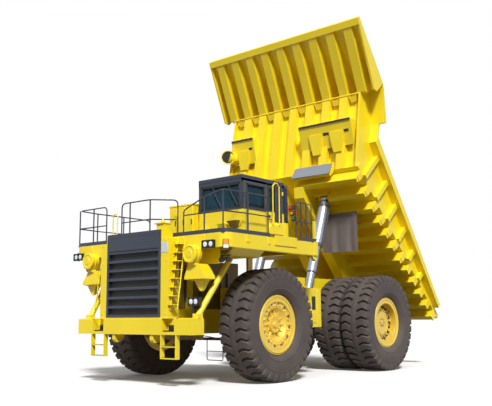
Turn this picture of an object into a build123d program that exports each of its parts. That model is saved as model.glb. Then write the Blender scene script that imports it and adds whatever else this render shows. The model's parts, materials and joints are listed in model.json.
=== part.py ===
"""Rigid mining dump truck, rear dump body raised on its two hoists.

Millimetres, +Z up, ground at Z = 0. The truck faces -Y and its left side, where the cab
stands, is +X. The origin is on the ground under the middle of the raised truck.
"""
from build123d import *
from math import cos, radians, sin
import os

os.makedirs("parts", exist_ok=True)

# ---- driving dimensions -------------------------------------------------------------
WHEELBASE = 5350
NOSE_REACH = 2829            # front axle to the bumper's front face
WHEEL_RADIUS = 1480          # loaded radius, so the hub height too
TYRE_WIDTH = 930
RIM_RADIUS = 648             # bead seat
FLANGE_RADIUS = 775
RIM_HALF_WIDTH = 330
FRONT_TRACK_HALF = 2190      # middle of a front tyre
REAR_OUTER_HALF = 2385       # middle of an outer rear tyre
DUAL_SPACING = 1020
KINGPIN_HALF = 1450
SPINDLE_RADIUS = 150
RUNNING_FIT = 0.05           # radial clearance of a shaft in its bore
FACE_GAP = 0.3               # between curved faces that only touch

RAIL_INNER = 430             # frame rails, front half
RAIL_OUTER = 690
HOIST_X = 1100
REAR_RAIL_INNER = 480        # frame rails, over the rear axle
REAR_RAIL_OUTER = HOIST_X - 300
RAIL_BOTTOM = 1250
RAIL_TOP = 1900
REAR_RAIL_TOP = 2900
FRAME_NOSE = 2430            # ahead of the front axle
FRAME_TAIL = 800             # behind the rear axle

BUMPER_HALF = 2168
BUMPER_BOTTOM = 1267
BUMPER_TOP = 1653
SHELL_HALF = 1300            # radiator shell
SHELL_TOP = 3870
GRILLE_HALF = 1030
GRILLE_BOTTOM = 1700
GRILLE_TOP = 3810
SHELL_FRONT = 2815           # ahead of the front axle
SHELL_DEPTH = SHELL_FRONT - FRAME_NOSE

DECK_TOP = 3700
DECK_THICK = 60
DECK_HALF = 2900
DECK_FRONT = 2450            # ahead of the front axle
DECK_REAR = 1350             # behind the front axle
FASCIA_THICK = 40
SUPPORT_TOP = DECK_TOP - DECK_THICK

CAB_INNER = 1200             # x of the cab's two sides
CAB_OUTER = 2700
CAB_FRONT = 1600             # ahead of the front axle
CAB_REAR = 100               # behind the front axle
CAB_TOP = 5240
CAB_WALL = 80
SILL = 4420
HEADER = 5030
GLASS = 10
DOOR_GAP = 6
DOOR_FRONT = 640             # ahead of the front axle
DOOR_REAR = -20

HINGE_BEHIND = 550           # bed hinge behind the rear axle
HINGE_Z = 2400
BED_ANGLE = 48               # raised
BED_HALF = 2600
CANOPY_HALF = 3165
PLATE = 50                   # body plate
PIVOT_RADIUS = 90
BALL_AHEAD = 1500            # ball of the control arms, ahead of the rear axle
BALL_Z = 1240
BALL_RADIUS = 150
FRAME_PIN = (2350, 1400)     # hoist pin on the frame: ahead of the rear axle, height
BED_PIN = (-3241, 1034)      # hoist pin on the bed, in the bed's own frame
HOIST_PIN = 60               # radius of the pin through the upper eye

# The bed's side view, in its own frame: distance behind the hinge, height over it.
BED = {
    "tip": (-7940, 3970),
    "canopy_rear": (-5600, 3720),
    "rib_foot": (-5810, 3080),
    "floor_front": (-4220, 1130),
    "floor_tail": (2640, 1720),
    "rail_front": (-4350, 2570),
    "rail_tail": (2180, 1910),
    "wing_foot": (-4670, 2910),
}
CROSS_DEPTH = 400            # floor cross members
CROSS_WIDTH = 250
WALL_RIB = 200               # depth of the front wall's ribs
RIB_PITCH = BED_HALF / 2600 * 675

# ---- places worked out from them ----------------------------------------------------
BED_COS = cos(radians(BED_ANGLE))
BED_SIN = sin(radians(BED_ANGLE))
FLOOR_SLOPE = (BED["floor_tail"][1] - BED["floor_front"][1]) / (BED["floor_tail"][0] - BED["floor_front"][0])
TAIL_HEIGHT = BED["floor_tail"][1] + 140
TAIL_REACH = WHEELBASE + HINGE_BEHIND + BED["floor_tail"][0] * BED_COS + TAIL_HEIGHT * BED_SIN
FRONT_AXLE_Y = (NOSE_REACH - TAIL_REACH) / 2
REAR_AXLE_Y = FRONT_AXLE_Y + WHEELBASE
HINGE_Y = REAR_AXLE_Y + HINGE_BEHIND
LEFT = 1
RIGHT = -1


def aft(distance):
    """Y of a place so far behind the front axle."""
    return FRONT_AXLE_Y + distance


def fore(distance):
    """Y of a place so far ahead of the front axle."""
    return FRONT_AXLE_Y - distance


def by_rear(distance):
    """Y of a place so far behind the rear axle, or ahead of it where negative."""
    return REAR_AXLE_Y + distance


def floor_height(r):
    """Height of the bed floor's underside in the bed's frame."""
    return BED["floor_front"][1] + (r - BED["floor_front"][0]) * FLOOR_SLOPE


def on_floor(r):
    """Point of the bed floor's underside."""
    return (r, floor_height(r))


def bed_point(r, u):
    """Y and Z, with the bed raised, of a point given in the bed's frame."""
    return HINGE_Y + r * BED_COS + u * BED_SIN, HINGE_Z - r * BED_SIN + u * BED_COS


def block(x, y, z, mode=Mode.ADD):
    """Box between two ends along each axis."""
    with Locations((sum(x) / 2, sum(y) / 2, sum(z) / 2)):
        Box(abs(x[1] - x[0]), abs(y[1] - y[0]), abs(z[1] - z[0]), mode=mode)


def prism(plane, points, length, mode=Mode.ADD):
    """Outline drawn on a plane and pushed along its normal."""
    with BuildSketch(plane) as outline:
        with BuildLine():
            Polyline(*points, close=True)
        make_face()
    extrude(outline.sketch, amount=length, mode=mode)


def side_prism(points, x_from, x_to, mode=Mode.ADD):
    """Side outline of (y, z) points, as wide as from x_from to x_to."""
    low, high = sorted((x_from, x_to))
    prism(Plane.YZ.offset(low), points, high - low, mode)


def front_prism(points, y_from, y_to, mode=Mode.ADD):
    """Front outline of (x, z) points, as deep as from y_from to y_to."""
    prism(Plane.XZ.offset(-y_to), points, y_to - y_from, mode)


def bed_plane(x):
    """The bed's own side plane: first axis to its tail, second axis up from its floor."""
    return Plane(origin=(x, HINGE_Y, HINGE_Z), x_dir=(0, BED_COS, -BED_SIN), z_dir=(1, 0, 0))


def bed_prism(points, x_from, x_to, mode=Mode.ADD):
    """Side outline in the bed's own frame."""
    low, high = sorted((x_from, x_to))
    prism(bed_plane(low), points, high - low, mode)


def along(start, end, share):
    """Point part of the way from one point to another."""
    return tuple(a + (b - a) * share for a, b in zip(start, end))


def bar(start, end, radius, mode=Mode.ADD):
    """Round bar between two points."""
    direction = Vector(*end) - Vector(*start)
    with BuildSketch(Plane(origin=start, z_dir=direction)) as section:
        Circle(radius)
    extrude(section.sketch, amount=direction.length, mode=mode)


ELBOW_SWELL = 1.2            # elbows and ball fittings are a little thicker than their tube


def rail(points, radius):
    """Round tube through several points, with round elbows."""
    for start, end in zip(points, points[1:]):
        bar(start, end, radius)
    for point in points[1:-1]:
        with Locations(point):
            Sphere(radius * ELBOW_SWELL)


def disc(centre, radius, length, mode=Mode.ADD):
    """Round bar along X about a centre."""
    with Locations(Location(centre, (0, 90, 0))):
        Cylinder(radius, length, mode=mode)


def finish(piece, label):
    """Name a piece and write it."""
    piece.part.label = label
    export_step(piece.part, f"parts/{label}.step")


# ---- frame --------------------------------------------------------------------------
CLAMP_RADIUS = 240
STRUT_RADIUS = 150
CLAMP_BOTTOM = 2030
CLAMP_TOP = 2480
ear_x = ((HOIST_X - 180, HOIST_X - 140), (HOIST_X + 140, HOIST_X + 180))
pin_y = by_rear(-FRAME_PIN[0])

with BuildPart() as main_frame:
    # side rails: low at the nose, deep amidships, raised over the rear axle
    front_rail = [
        (fore(FRAME_NOSE), RAIL_BOTTOM), (by_rear(-2050), RAIL_BOTTOM), (by_rear(-2050), RAIL_TOP),
        (fore(FRAME_NOSE), RAIL_TOP)]
    rear_rail = [
        (aft(1500), RAIL_BOTTOM), (by_rear(-2000), RAIL_BOTTOM), (by_rear(-1100), 2050),
        (by_rear(FRAME_TAIL), 2050), (by_rear(FRAME_TAIL), 2600), (by_rear(350), REAR_RAIL_TOP),
        (aft(2300), REAR_RAIL_TOP), (aft(1500), RAIL_TOP)]
    side_prism(front_rail, RAIL_INNER, RAIL_OUTER)
    side_prism(rear_rail, REAR_RAIL_INNER, REAR_RAIL_OUTER)
    # outrigger and clamp that hold the front suspension strut
    front_prism([(RAIL_OUTER - 10, 1500), (1120, 1500), (1230, CLAMP_BOTTOM), (KINGPIN_HALF, CLAMP_BOTTOM),
                 (KINGPIN_HALF, CLAMP_TOP), (RAIL_OUTER - 10, CLAMP_TOP)], fore(200), aft(200))
    with Locations((KINGPIN_HALF, FRONT_AXLE_Y, (CLAMP_BOTTOM + CLAMP_TOP) / 2)):
        Cylinder(CLAMP_RADIUS, CLAMP_TOP - CLAMP_BOTTOM)
        Cylinder(STRUT_RADIUS, CLAMP_TOP - CLAMP_BOTTOM, mode=Mode.SUBTRACT)
    # hoist bracket: base on the rail, two ears, a boss outside each
    block((REAR_RAIL_OUTER - 10, HOIST_X + 180), (pin_y - 380, pin_y - 300), (1250, 1650))
    for low, high in ear_x:
        side_prism([(pin_y - 310, 1250), (pin_y, 1230), (pin_y + 150, 1330), (pin_y + 150, 1470),
                    (pin_y, 1550), (pin_y - 310, 1560)], low, high)
    disc((HOIST_X + 195, pin_y, FRAME_PIN[1]), 90, 30)
    # bed pivot pin, inside the rail
    disc((REAR_RAIL_INNER - 70, HINGE_Y, HINGE_Z), PIVOT_RADIUS, 160)
    # bearer for the side tank
    block((REAR_RAIL_OUTER - 10, 1350), (aft(2050), aft(2450)), (1700, 1900))
    mirror(about=Plane.YZ)
    # cross members
    span = (-REAR_RAIL_INNER - 20, REAR_RAIL_INNER + 20)
    for y, z, size in ((fore(2250), 1575, 320), (aft(2600), 2300, 420), (by_rear(-800), 2400, 420)):
        block(span, (y - size / 2, y + size / 2), (z - size / 2, z + size / 2))
    block(span, (by_rear(FRAME_TAIL - 120), by_rear(FRAME_TAIL)), (2060, 2140))
    # cross beam that takes the ball of the rear axle's control arms
    ball_beam = (by_rear(-BALL_AHEAD - BALL_RADIUS - 120), by_rear(-BALL_AHEAD - BALL_RADIUS))
    block(span, ball_beam, (1120, 1360))
    for side in (LEFT, RIGHT):
        block((side * 340, side * (REAR_RAIL_INNER + 20)), ball_beam, (1360, 1500))
finish(main_frame, "main_frame")

BEAM_FORE = 1300             # front deck beam, ahead of the axle
BEAM_AFT = 1000              # rear deck beam, behind the axle
with BuildPart() as deck_supports:
    for y0, y1 in ((fore(BEAM_FORE + 200), fore(BEAM_FORE)), (aft(BEAM_AFT), aft(BEAM_AFT + 200))):
        block((-2650, 2650), (y0, y1), (3400, SUPPORT_TOP))
        for side in (LEFT, RIGHT):
            block((side * 612, side * RAIL_OUTER), (y0, y1), (RAIL_TOP, 3400))
finish(deck_supports, "deck_supports")

# ---- engine and drive line ----------------------------------------------------------
ENGINE_TOP = 3200
with BuildPart() as engine_block:
    block((-600, 600), (fore(1750), aft(650)), (RAIL_TOP, ENGINE_TOP))
finish(engine_block, "engine_block")

with BuildPart() as drive_line:
    block((-RAIL_INNER, RAIL_INNER), (aft(900), aft(2150)), (1300, 1850))
    bar((0, aft(2150), 1560), (0, REAR_AXLE_Y - 481, WHEEL_RADIUS), 95)
finish(drive_line, "drive_line")

# ---- front suspension and axle --------------------------------------------------------
HOUSING_RADIUS = 210
HOUSING_TOP = 1960
HOUSING_BOTTOM = 1050
STRUT_BOTTOM = 1640
with BuildPart() as front_struts:
    bar((KINGPIN_HALF, FRONT_AXLE_Y, STRUT_BOTTOM), (KINGPIN_HALF, FRONT_AXLE_Y, 2640), STRUT_RADIUS)
    mirror(about=Plane.YZ)
finish(front_struts, "front_struts")

ARM_BEHIND = 550             # tie rod pin behind the kingpin
ARM_X = KINGPIN_HALF         # both arms run straight back, so the rod fits them at every lock
TIE_Z = 1060
for name, side in (("left_knuckle", LEFT), ("right_knuckle", RIGHT)):
    kingpin_x = side * KINGPIN_HALF
    with BuildPart() as knuckle:
        bar((kingpin_x, FRONT_AXLE_Y, HOUSING_BOTTOM), (kingpin_x, FRONT_AXLE_Y, HOUSING_TOP), HOUSING_RADIUS)
        bar((kingpin_x, FRONT_AXLE_Y, STRUT_BOTTOM - 1), (kingpin_x, FRONT_AXLE_Y, HOUSING_TOP),
            STRUT_RADIUS + RUNNING_FIT, mode=Mode.SUBTRACT)
        # spindle that carries the wheel
        bar((kingpin_x + side * 190, FRONT_AXLE_Y, WHEEL_RADIUS),
            (side * (FRONT_TRACK_HALF - 215), FRONT_AXLE_Y, WHEEL_RADIUS), 230)
        bar((side * (FRONT_TRACK_HALF - 230), FRONT_AXLE_Y, WHEEL_RADIUS),
            (side * (FRONT_TRACK_HALF + 100), FRONT_AXLE_Y, WHEEL_RADIUS), SPINDLE_RADIUS)
        # steering arm and its pin
        side_arm = [(kingpin_x - 110, FRONT_AXLE_Y), (kingpin_x + 110, FRONT_AXLE_Y),
                    (side * ARM_X + 80, aft(ARM_BEHIND)), (side * ARM_X - 80, aft(ARM_BEHIND))]
        prism(Plane.XY.offset(1120), side_arm, 100)
        with Locations((side * ARM_X, aft(ARM_BEHIND), 1170)):
            Cylinder(80, 100)
        bar((side * ARM_X, aft(ARM_BEHIND), 1130), (side * ARM_X, aft(ARM_BEHIND), TIE_Z - 45), 30)
    finish(knuckle, name)

with BuildPart() as tie_rod:
    bar((-ARM_X, aft(ARM_BEHIND), TIE_Z), (ARM_X, aft(ARM_BEHIND), TIE_Z), 42)
    for side, slack in ((LEFT, RUNNING_FIT), (RIGHT, 2.0)):
        with Locations((side * ARM_X, aft(ARM_BEHIND), TIE_Z)):
            Cylinder(75, 90)
            Cylinder(30 + slack, 200, mode=Mode.SUBTRACT)
finish(tie_rod, "tie_rod")

# ---- rear axle ------------------------------------------------------------------------
REAR_INNER_HALF = REAR_OUTER_HALF - DUAL_SPACING
REAR_SPINDLE = 230
STRUT_X = 650
with BuildPart() as rear_axle:
    disc((0, REAR_AXLE_Y, WHEEL_RADIUS), 280, 2 * 1000)
    with Locations((0, REAR_AXLE_Y, WHEEL_RADIUS)):
        Sphere(480)
    disc((0, REAR_AXLE_Y, WHEEL_RADIUS), REAR_SPINDLE, 2 * (REAR_OUTER_HALF + 60))
    # control arms run forward to a ball under the frame, lugs run back to the struts
    for side in (LEFT, RIGHT):
        bar((side * 300, REAR_AXLE_Y, WHEEL_RADIUS - 240), (side * 60, by_rear(50 - BALL_AHEAD), BALL_Z), 100)
        block((side * 560, side * 740), (REAR_AXLE_Y, by_rear(650)), (WHEEL_RADIUS - 280, WHEEL_RADIUS - 160))
    with Locations((0, by_rear(-BALL_AHEAD), BALL_Z)):
        Sphere(BALL_RADIUS)
    # suspension struts behind the axle
    for side in (LEFT, RIGHT):
        strut = (side * STRUT_X, by_rear(530))
        bar((*strut, WHEEL_RADIUS - 160), (*strut, 1720), 90)
        bar((*strut, 1640), (*strut, 2050), 130)
finish(rear_axle, "rear_axle")


# ---- wheels ---------------------------------------------------------------------------
def wheel_plane(centre, side):
    """Plane through a wheel's axis: first axis outward, second axis up."""
    return Plane(origin=centre, x_dir=(side, 0, 0), z_dir=(0, -side, 0))


def turned(centre, side, outline):
    """Solid of revolution about a wheel's axis, from (outward, radius) points."""
    with BuildSketch(wheel_plane(centre, side)) as section:
        with BuildLine():
            Polyline(*outline, close=True)
        make_face()
    revolve(section.sketch, axis=Axis(centre, (1, 0, 0)))


def tyre(centre, side):
    """One tyre, its shoulders and side walls as flat cones."""
    bead = RIM_HALF_WIDTH - 30 - FACE_GAP
    half = TYRE_WIDTH / 2
    turned(centre, side, [
        (-bead, RIM_RADIUS + FACE_GAP), (bead, RIM_RADIUS + FACE_GAP), (bead, FLANGE_RADIUS + FACE_GAP),
        (half - 60, FLANGE_RADIUS + 90), (half, FLANGE_RADIUS + 275), (half, WHEEL_RADIUS - 280),
        (half - 20, WHEEL_RADIUS - 120), (half - 75, WHEEL_RADIUS - 20), (half - 150, WHEEL_RADIUS),
        (150 - half, WHEEL_RADIUS), (75 - half, WHEEL_RADIUS - 20), (20 - half, WHEEL_RADIUS - 120),
        (-half, WHEEL_RADIUS - 280), (-half, FLANGE_RADIUS + 275), (60 - half, FLANGE_RADIUS + 90),
        (-bead, FLANGE_RADIUS + FACE_GAP)])


def barrel(centre, side, web_from, web_to, hub_radius):
    """Rim barrel with its two flanges and the web that joins it to the hub."""
    outer = RIM_HALF_WIDTH
    turned(centre, side, [
        (-outer, RIM_RADIUS - 48), (-outer, FLANGE_RADIUS), (30 - outer, FLANGE_RADIUS),
        (30 - outer, RIM_RADIUS), (outer - 30, RIM_RADIUS), (outer - 30, FLANGE_RADIUS),
        (outer, FLANGE_RADIUS), (outer, RIM_RADIUS - 48), (web_to, RIM_RADIUS - 48),
        (web_to, hub_radius), (web_from, hub_radius), (web_from, RIM_RADIUS - 48)])


for label, side in (("left", LEFT), ("right", RIGHT)):
    front_centre = (side * FRONT_TRACK_HALF, FRONT_AXLE_Y, WHEEL_RADIUS)
    with BuildPart() as front_tyre:
        tyre(front_centre, side)
    finish(front_tyre, f"front_{label}_tyre")

    with BuildPart() as front_wheel:
        barrel(front_centre, side, 225, 285, 440)
        # dished hub: deep behind the web, a round cap in the middle of the dish
        turned(front_centre, side, [
            (-200, SPINDLE_RADIUS + RUNNING_FIT), (-200, 300), (60, 330), (150, 360), (225, 450), (285, 450),
            (180, 340), (180, 230), (235, 215), (235, 0), (101, 0), (101, SPINDLE_RADIUS + RUNNING_FIT)])
    finish(front_wheel, f"front_{label}_wheel")

    outer_centre = (side * REAR_OUTER_HALF, REAR_AXLE_Y, WHEEL_RADIUS)
    inner_centre = (side * REAR_INNER_HALF, REAR_AXLE_Y, WHEEL_RADIUS)
    for place, centre in (("outer", outer_centre), ("inner", inner_centre)):
        with BuildPart() as rear_tyre:
            tyre(centre, side)
        finish(rear_tyre, f"rear_{label}_{place}_tyre")

    with BuildPart() as rear_wheel:
        barrel(outer_centre, side, 60, 125, 420)
        barrel(inner_centre, side, 190, 250, 420)
        hub_start = REAR_INNER_HALF - REAR_OUTER_HALF - 100
        turned(outer_centre, side, [
            (hub_start, REAR_SPINDLE + RUNNING_FIT), (hub_start, 430), (125, 430), (125, 405), (165, 400),
            (165, 0), (61, 0), (61, REAR_SPINDLE + RUNNING_FIT)])
    finish(rear_wheel, f"rear_{label}_wheel")

# ---- nose: bumper, radiator shell, grille ---------------------------------------------
POCKET = (1110, 1550)        # x of the step pocket in the bumper
LUG_X = 720
LUG_BORE = 45
LUG_PIN = (2640, 1160)       # ahead of the front axle, height; behind the steps, so a pin slides in
with BuildPart() as front_bumper:
    block((-BUMPER_HALF, BUMPER_HALF), (fore(NOSE_REACH), fore(FRAME_NOSE)), (BUMPER_BOTTOM, BUMPER_TOP))
    for side in (LEFT, RIGHT):
        pocket_x = tuple(side * x for x in POCKET)
        block(pocket_x, (fore(NOSE_REACH), fore(NOSE_REACH - 220)), (1340, BUMPER_TOP), mode=Mode.SUBTRACT)
        # tow lug under the bumper
        side_prism([(fore(2800), 1290), (fore(2800), 1130), (fore(2740), 1060), (fore(2620), 1060),
                    (fore(2480), 1200), (fore(2480), 1290)], side * (LUG_X - 55), side * (LUG_X + 55))
        disc((side * LUG_X, fore(LUG_PIN[0]), LUG_PIN[1]), LUG_BORE, 200, mode=Mode.SUBTRACT)
finish(front_bumper, "front_bumper")

GRILLE_X = (-GRILLE_HALF, GRILLE_HALF)
GRILLE_Z = (GRILLE_BOTTOM, GRILLE_TOP)
HOOD_HALF = GRILLE_HALF + 40
with BuildPart() as radiator_shell:
    back = fore(SHELL_FRONT - SHELL_DEPTH)
    front_prism([(-SHELL_HALF, BUMPER_TOP), (SHELL_HALF, BUMPER_TOP), (SHELL_HALF, SUPPORT_TOP),
                 (HOOD_HALF, SUPPORT_TOP), (HOOD_HALF, SHELL_TOP), (-HOOD_HALF, SHELL_TOP),
                 (-HOOD_HALF, SUPPORT_TOP), (-SHELL_HALF, SUPPORT_TOP)], fore(SHELL_FRONT - 20), back)
    block(GRILLE_X, (fore(SHELL_FRONT), back), GRILLE_Z, mode=Mode.SUBTRACT)
finish(radiator_shell, "radiator_shell")

GRILLE_BARS = 7
GRILLE_BAR = 70
with BuildPart() as grille:
    block(GRILLE_X, (fore(SHELL_FRONT), fore(SHELL_FRONT - 90)), GRILLE_Z)
    slot_pitch = (GRILLE_TOP - 420 - GRILLE_BOTTOM) / GRILLE_BARS
    for index in range(GRILLE_BARS):
        slot_low = GRILLE_BOTTOM + 70 + index * slot_pitch
        block((-GRILLE_HALF + 70, GRILLE_HALF - 70), (fore(SHELL_FRONT), fore(SHELL_FRONT - 90)),
              (slot_low, slot_low + slot_pitch - GRILLE_BAR), mode=Mode.SUBTRACT)
finish(grille, "grille")

with BuildPart() as radiator_core:
    block(GRILLE_X, (fore(SHELL_FRONT - 90), fore(SHELL_FRONT - 300)), GRILLE_Z)
finish(radiator_core, "radiator_core")

# ---- ways up: ladders and steps ---------------------------------------------------------
LADDER = ((1340, 1580), (2750, 1880), (2500, 3600))   # x of the stiles, foot (ahead, z), head (ahead, z)
RUNGS = 8
with BuildPart() as front_ladders:
    (stile_in, stile_out), foot, head = LADDER
    for x in (stile_in, stile_out):
        bar((x, fore(foot[0]), foot[1]), (x, fore(head[0]), head[1]), 17)
    for index in range(RUNGS):
        share = (index + 0.5) / RUNGS
        ahead, z = along(foot, head, share)
        bar((stile_in, fore(ahead), z), (stile_out, fore(ahead), z), 12)
    for share in (0.0, 0.96):
        ahead, z = along(foot, head, share)
        bar((SHELL_HALF, fore(ahead), z), (stile_in, fore(ahead), z), 14)
    mirror(about=Plane.YZ)
finish(front_ladders, "front_ladders")

with BuildPart() as bumper_steps:
    for x in (1080, 1600):
        block((x - 17, x + 17), (fore(NOSE_REACH - 5), fore(2700)), (686, BUMPER_BOTTOM))
    for z in (700, 980):
        block((1080, 1600), (fore(NOSE_REACH - 5), fore(2680)), (z - 14, z + 14))
    mirror(about=Plane.YZ)
finish(bumper_steps, "bumper_steps")

# ---- decks ------------------------------------------------------------------------------
CORNER = 260                 # radius of the decks' front corners
FASCIA_LOW = 3350
DECK_INNER = HOOD_HALF + 20    # inner edge of the decks, beside the hood


def deck(side, inner):
    """Flat deck with a deep fascia along its front and its outer side."""
    corner = (side * (DECK_HALF - CORNER), fore(DECK_FRONT - CORNER))
    block((side * inner, corner[0]), (fore(DECK_FRONT), aft(DECK_REAR)), (SUPPORT_TOP, DECK_TOP))
    block((corner[0], side * DECK_HALF), (corner[1], aft(DECK_REAR)), (SUPPORT_TOP, DECK_TOP))
    with Locations((*corner, (SUPPORT_TOP + DECK_TOP) / 2)):
        Cylinder(CORNER, DECK_THICK)
    # fascia: front stretch, round corner, side stretch
    low, high = FASCIA_LOW, SUPPORT_TOP
    block((side * SHELL_HALF, corner[0]), (fore(DECK_FRONT), fore(DECK_FRONT - FASCIA_THICK)), (low, high))
    block((side * (DECK_HALF - FASCIA_THICK), side * DECK_HALF), (corner[1], aft(DECK_REAR)), (low, high))
    with BuildSketch(Plane.XY.offset(low)) as bend:
        with Locations(corner):
            Circle(CORNER)
            Circle(CORNER - FASCIA_THICK, mode=Mode.SUBTRACT)
        with Locations((corner[0] + side * CORNER, corner[1] - CORNER)):
            Rectangle(2 * CORNER, 2 * CORNER, mode=Mode.INTERSECT)
    extrude(bend.sketch, amount=high - low)


with BuildPart() as left_deck:
    deck(LEFT, DECK_INNER)
finish(left_deck, "left_deck")

with BuildPart() as right_deck:
    deck(RIGHT, DECK_INNER)
    # the same plate goes on over the engine, behind the radiator shell
    block((-DECK_INNER, DECK_INNER), (fore(SHELL_FRONT - SHELL_DEPTH), aft(DECK_REAR)), (SUPPORT_TOP, DECK_TOP))
finish(right_deck, "right_deck")

RAIL_TUBE = 22
POST_TUBE = 25
TOP_RAIL = DECK_TOP + 1040
MID_RAIL = DECK_TOP + 520
edge = DECK_HALF - 30
front_line = fore(DECK_FRONT - 40)
shell_line = fore(2500)
# Straight guard rails: height of the posts' feet, then the posts (x, y) of one run.
GUARD_RUNS = (
    (DECK_TOP, ((-1580, front_line), (-2150, front_line), (60 - edge, front_line))),
    (DECK_TOP, ((-edge, fore(1700)), (-edge, fore(700)), (-edge, aft(380)))),
    (DECK_TOP, ((1440, front_line), (2150, front_line), (edge - 60, front_line))),
    (DECK_TOP, ((edge, fore(1600)), (edge, fore(800)))),
    (SHELL_TOP, ((-830, shell_line), (-500, shell_line), (290, shell_line))),
    (DECK_TOP, ((770, fore(1960)),)),
    (DECK_TOP, ((edge, aft(400)), (edge, aft(640)), (edge, aft(880)), (edge, aft(1120)))),
)
CORNER_LINKS = ((GUARD_RUNS[0][1][2], GUARD_RUNS[1][1][0]), (GUARD_RUNS[2][1][2], GUARD_RUNS[3][1][0]),
                (GUARD_RUNS[4][1][2], GUARD_RUNS[5][1][0]))
# The left deck's front rail comes down towards the ladder's head.
LOW_TOPS = {GUARD_RUNS[2][1][0]: 4350, GUARD_RUNS[2][1][1]: 4600}
with BuildPart() as handrails:
    for foot_z, run in GUARD_RUNS:
        for place in run:
            bar((*place, foot_z), (*place, LOW_TOPS.get(place, TOP_RAIL)), POST_TUBE)
        for heights in ([MID_RAIL] * len(run), [LOW_TOPS.get(place, TOP_RAIL) for place in run]):
            points = [(*place, height) for place, height in zip(run, heights)]
            for start, end in zip(points, points[1:]):
                bar(start, end, RAIL_TUBE)
            for point in points:
                with Locations(point):
                    Sphere(POST_TUBE * ELBOW_SWELL)
    # tubes across the decks' round corners, from one run's end post to the next run's first
    for start, end in CORNER_LINKS:
        span = Vector(*end) - Vector(*start)
        seat = (POST_TUBE * ELBOW_SWELL + FACE_GAP) / span.length
        for height in (MID_RAIL, TOP_RAIL):
            bar((*along(start, end, seat), height), (*along(start, end, 1 - seat), height), RAIL_TUBE)
    # grab rail beside the right ladder's head, post at the left deck's rear corner
    rail([(-1120, front_line, DECK_TOP), (-1120, front_line, 4480), (-1300, front_line, 4480),
          (-1300, front_line, DECK_TOP)], 20)
    block((2800, 2870), (aft(1270), aft(DECK_REAR - 10)), (DECK_TOP, 4300))
finish(handrails, "handrails")

with BuildPart() as fender_struts:
    # brace with a foot on the bumper's end and a head under the deck beam
    bar((2050, fore(2520), BUMPER_TOP + 60), (2250, fore(BEAM_FORE + 100), 3340), 75)
    block((1960, 2140), (fore(2610), fore(2440)), (BUMPER_TOP, BUMPER_TOP + 120))
    block((2150, 2350), (fore(BEAM_FORE + 190), fore(BEAM_FORE + 10)), (3270, 3400))
    mirror(about=Plane.YZ)
finish(fender_struts, "fender_struts")

DRUM_RADIUS = 230
CLEANERS = ((1905, 3215, (1640, 2300)), (-2030, 3240, (-2360, -1680)))    # drum's x and z, x of its hopper
with BuildPart() as air_cleaners:
    for x, z, hopper in CLEANERS:
        # drum on the fascia's front face, neck down to the hopper under it
        drum = (fore(2700), fore(DECK_FRONT) - FACE_GAP)
        with Locations(Location((x, sum(drum) / 2, z), (90, 0, 0))):
            Cylinder(DRUM_RADIUS, drum[1] - drum[0])
        block((x - 110, x + 110), (fore(2600), fore(2460)), (2960, z - 150))
        block(hopper, (fore(2580), fore(2180)), (2560, 2970))
finish(air_cleaners, "air_cleaners")

with BuildPart() as head_lamps:
    # a pair on each deck's fascia, a lower pair on a post from the bumper's left end
    for span, low in (((2160, 2560), 3330), ((-2900, -2500), 3300)):
        block(span, (fore(DECK_FRONT + 70), fore(DECK_FRONT)), (low, low + 200))
    block((1810, 2140), (fore(2620), fore(2480)), (1960, 2160))
    block((1900, 1960), (fore(2560), fore(2500)), (BUMPER_TOP, 1960))
finish(head_lamps, "head_lamps")

with BuildPart() as deck_cabinet:
    block((200, 1090), (fore(1700), fore(700)), (DECK_TOP, 4640))
finish(deck_cabinet, "deck_cabinet")

# ---- cab ----------------------------------------------------------------------------------
FLOOR_TOP = DECK_TOP + CAB_WALL
ROOF_LOW = CAB_TOP - 100
front_y = fore(CAB_FRONT)
rear_y = aft(CAB_REAR)
with BuildPart() as cab_floor:
    block((CAB_INNER, CAB_OUTER), (front_y, rear_y), (DECK_TOP, FLOOR_TOP))
finish(cab_floor, "cab_floor")

with BuildPart() as cab_front_wall:
    block((CAB_INNER, CAB_OUTER), (front_y, front_y + CAB_WALL), (FLOOR_TOP, ROOF_LOW))
    windscreen = (CAB_INNER + 110, CAB_OUTER - 110)
    block(windscreen, (front_y, front_y + CAB_WALL), (SILL, HEADER), mode=Mode.SUBTRACT)
finish(cab_front_wall, "cab_front_wall")

with BuildPart() as cab_rear_wall:
    block((CAB_INNER, CAB_OUTER), (rear_y - CAB_WALL, rear_y), (FLOOR_TOP, ROOF_LOW))
    block((CAB_INNER + 200, CAB_OUTER - 200), (rear_y - CAB_WALL, rear_y), (SILL, HEADER), mode=Mode.SUBTRACT)
finish(cab_rear_wall, "cab_rear_wall")

wall_span = (front_y + CAB_WALL, rear_y - CAB_WALL)
inner_window = (front_y + 220, rear_y - 220)
quarter_window = (front_y + 160, fore(DOOR_FRONT + 90))
with BuildPart() as cab_inner_wall:
    block((CAB_INNER, CAB_INNER + CAB_WALL), wall_span, (FLOOR_TOP, ROOF_LOW))
    block((CAB_INNER, CAB_INNER + CAB_WALL), inner_window, (SILL, HEADER), mode=Mode.SUBTRACT)
finish(cab_inner_wall, "cab_inner_wall")

door_span = (fore(DOOR_FRONT), fore(DOOR_REAR))
with BuildPart() as cab_outer_wall:
    block((CAB_OUTER - CAB_WALL, CAB_OUTER), (wall_span[0], door_span[0] - DOOR_GAP), (FLOOR_TOP, ROOF_LOW))
    block((CAB_OUTER - CAB_WALL, CAB_OUTER), quarter_window, (SILL, HEADER), mode=Mode.SUBTRACT)
finish(cab_outer_wall, "cab_outer_wall")

with BuildPart() as cab_roof:
    block((CAB_INNER, CAB_OUTER), (front_y - 20, rear_y), (ROOF_LOW, CAB_TOP))
finish(cab_roof, "cab_roof")

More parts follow.
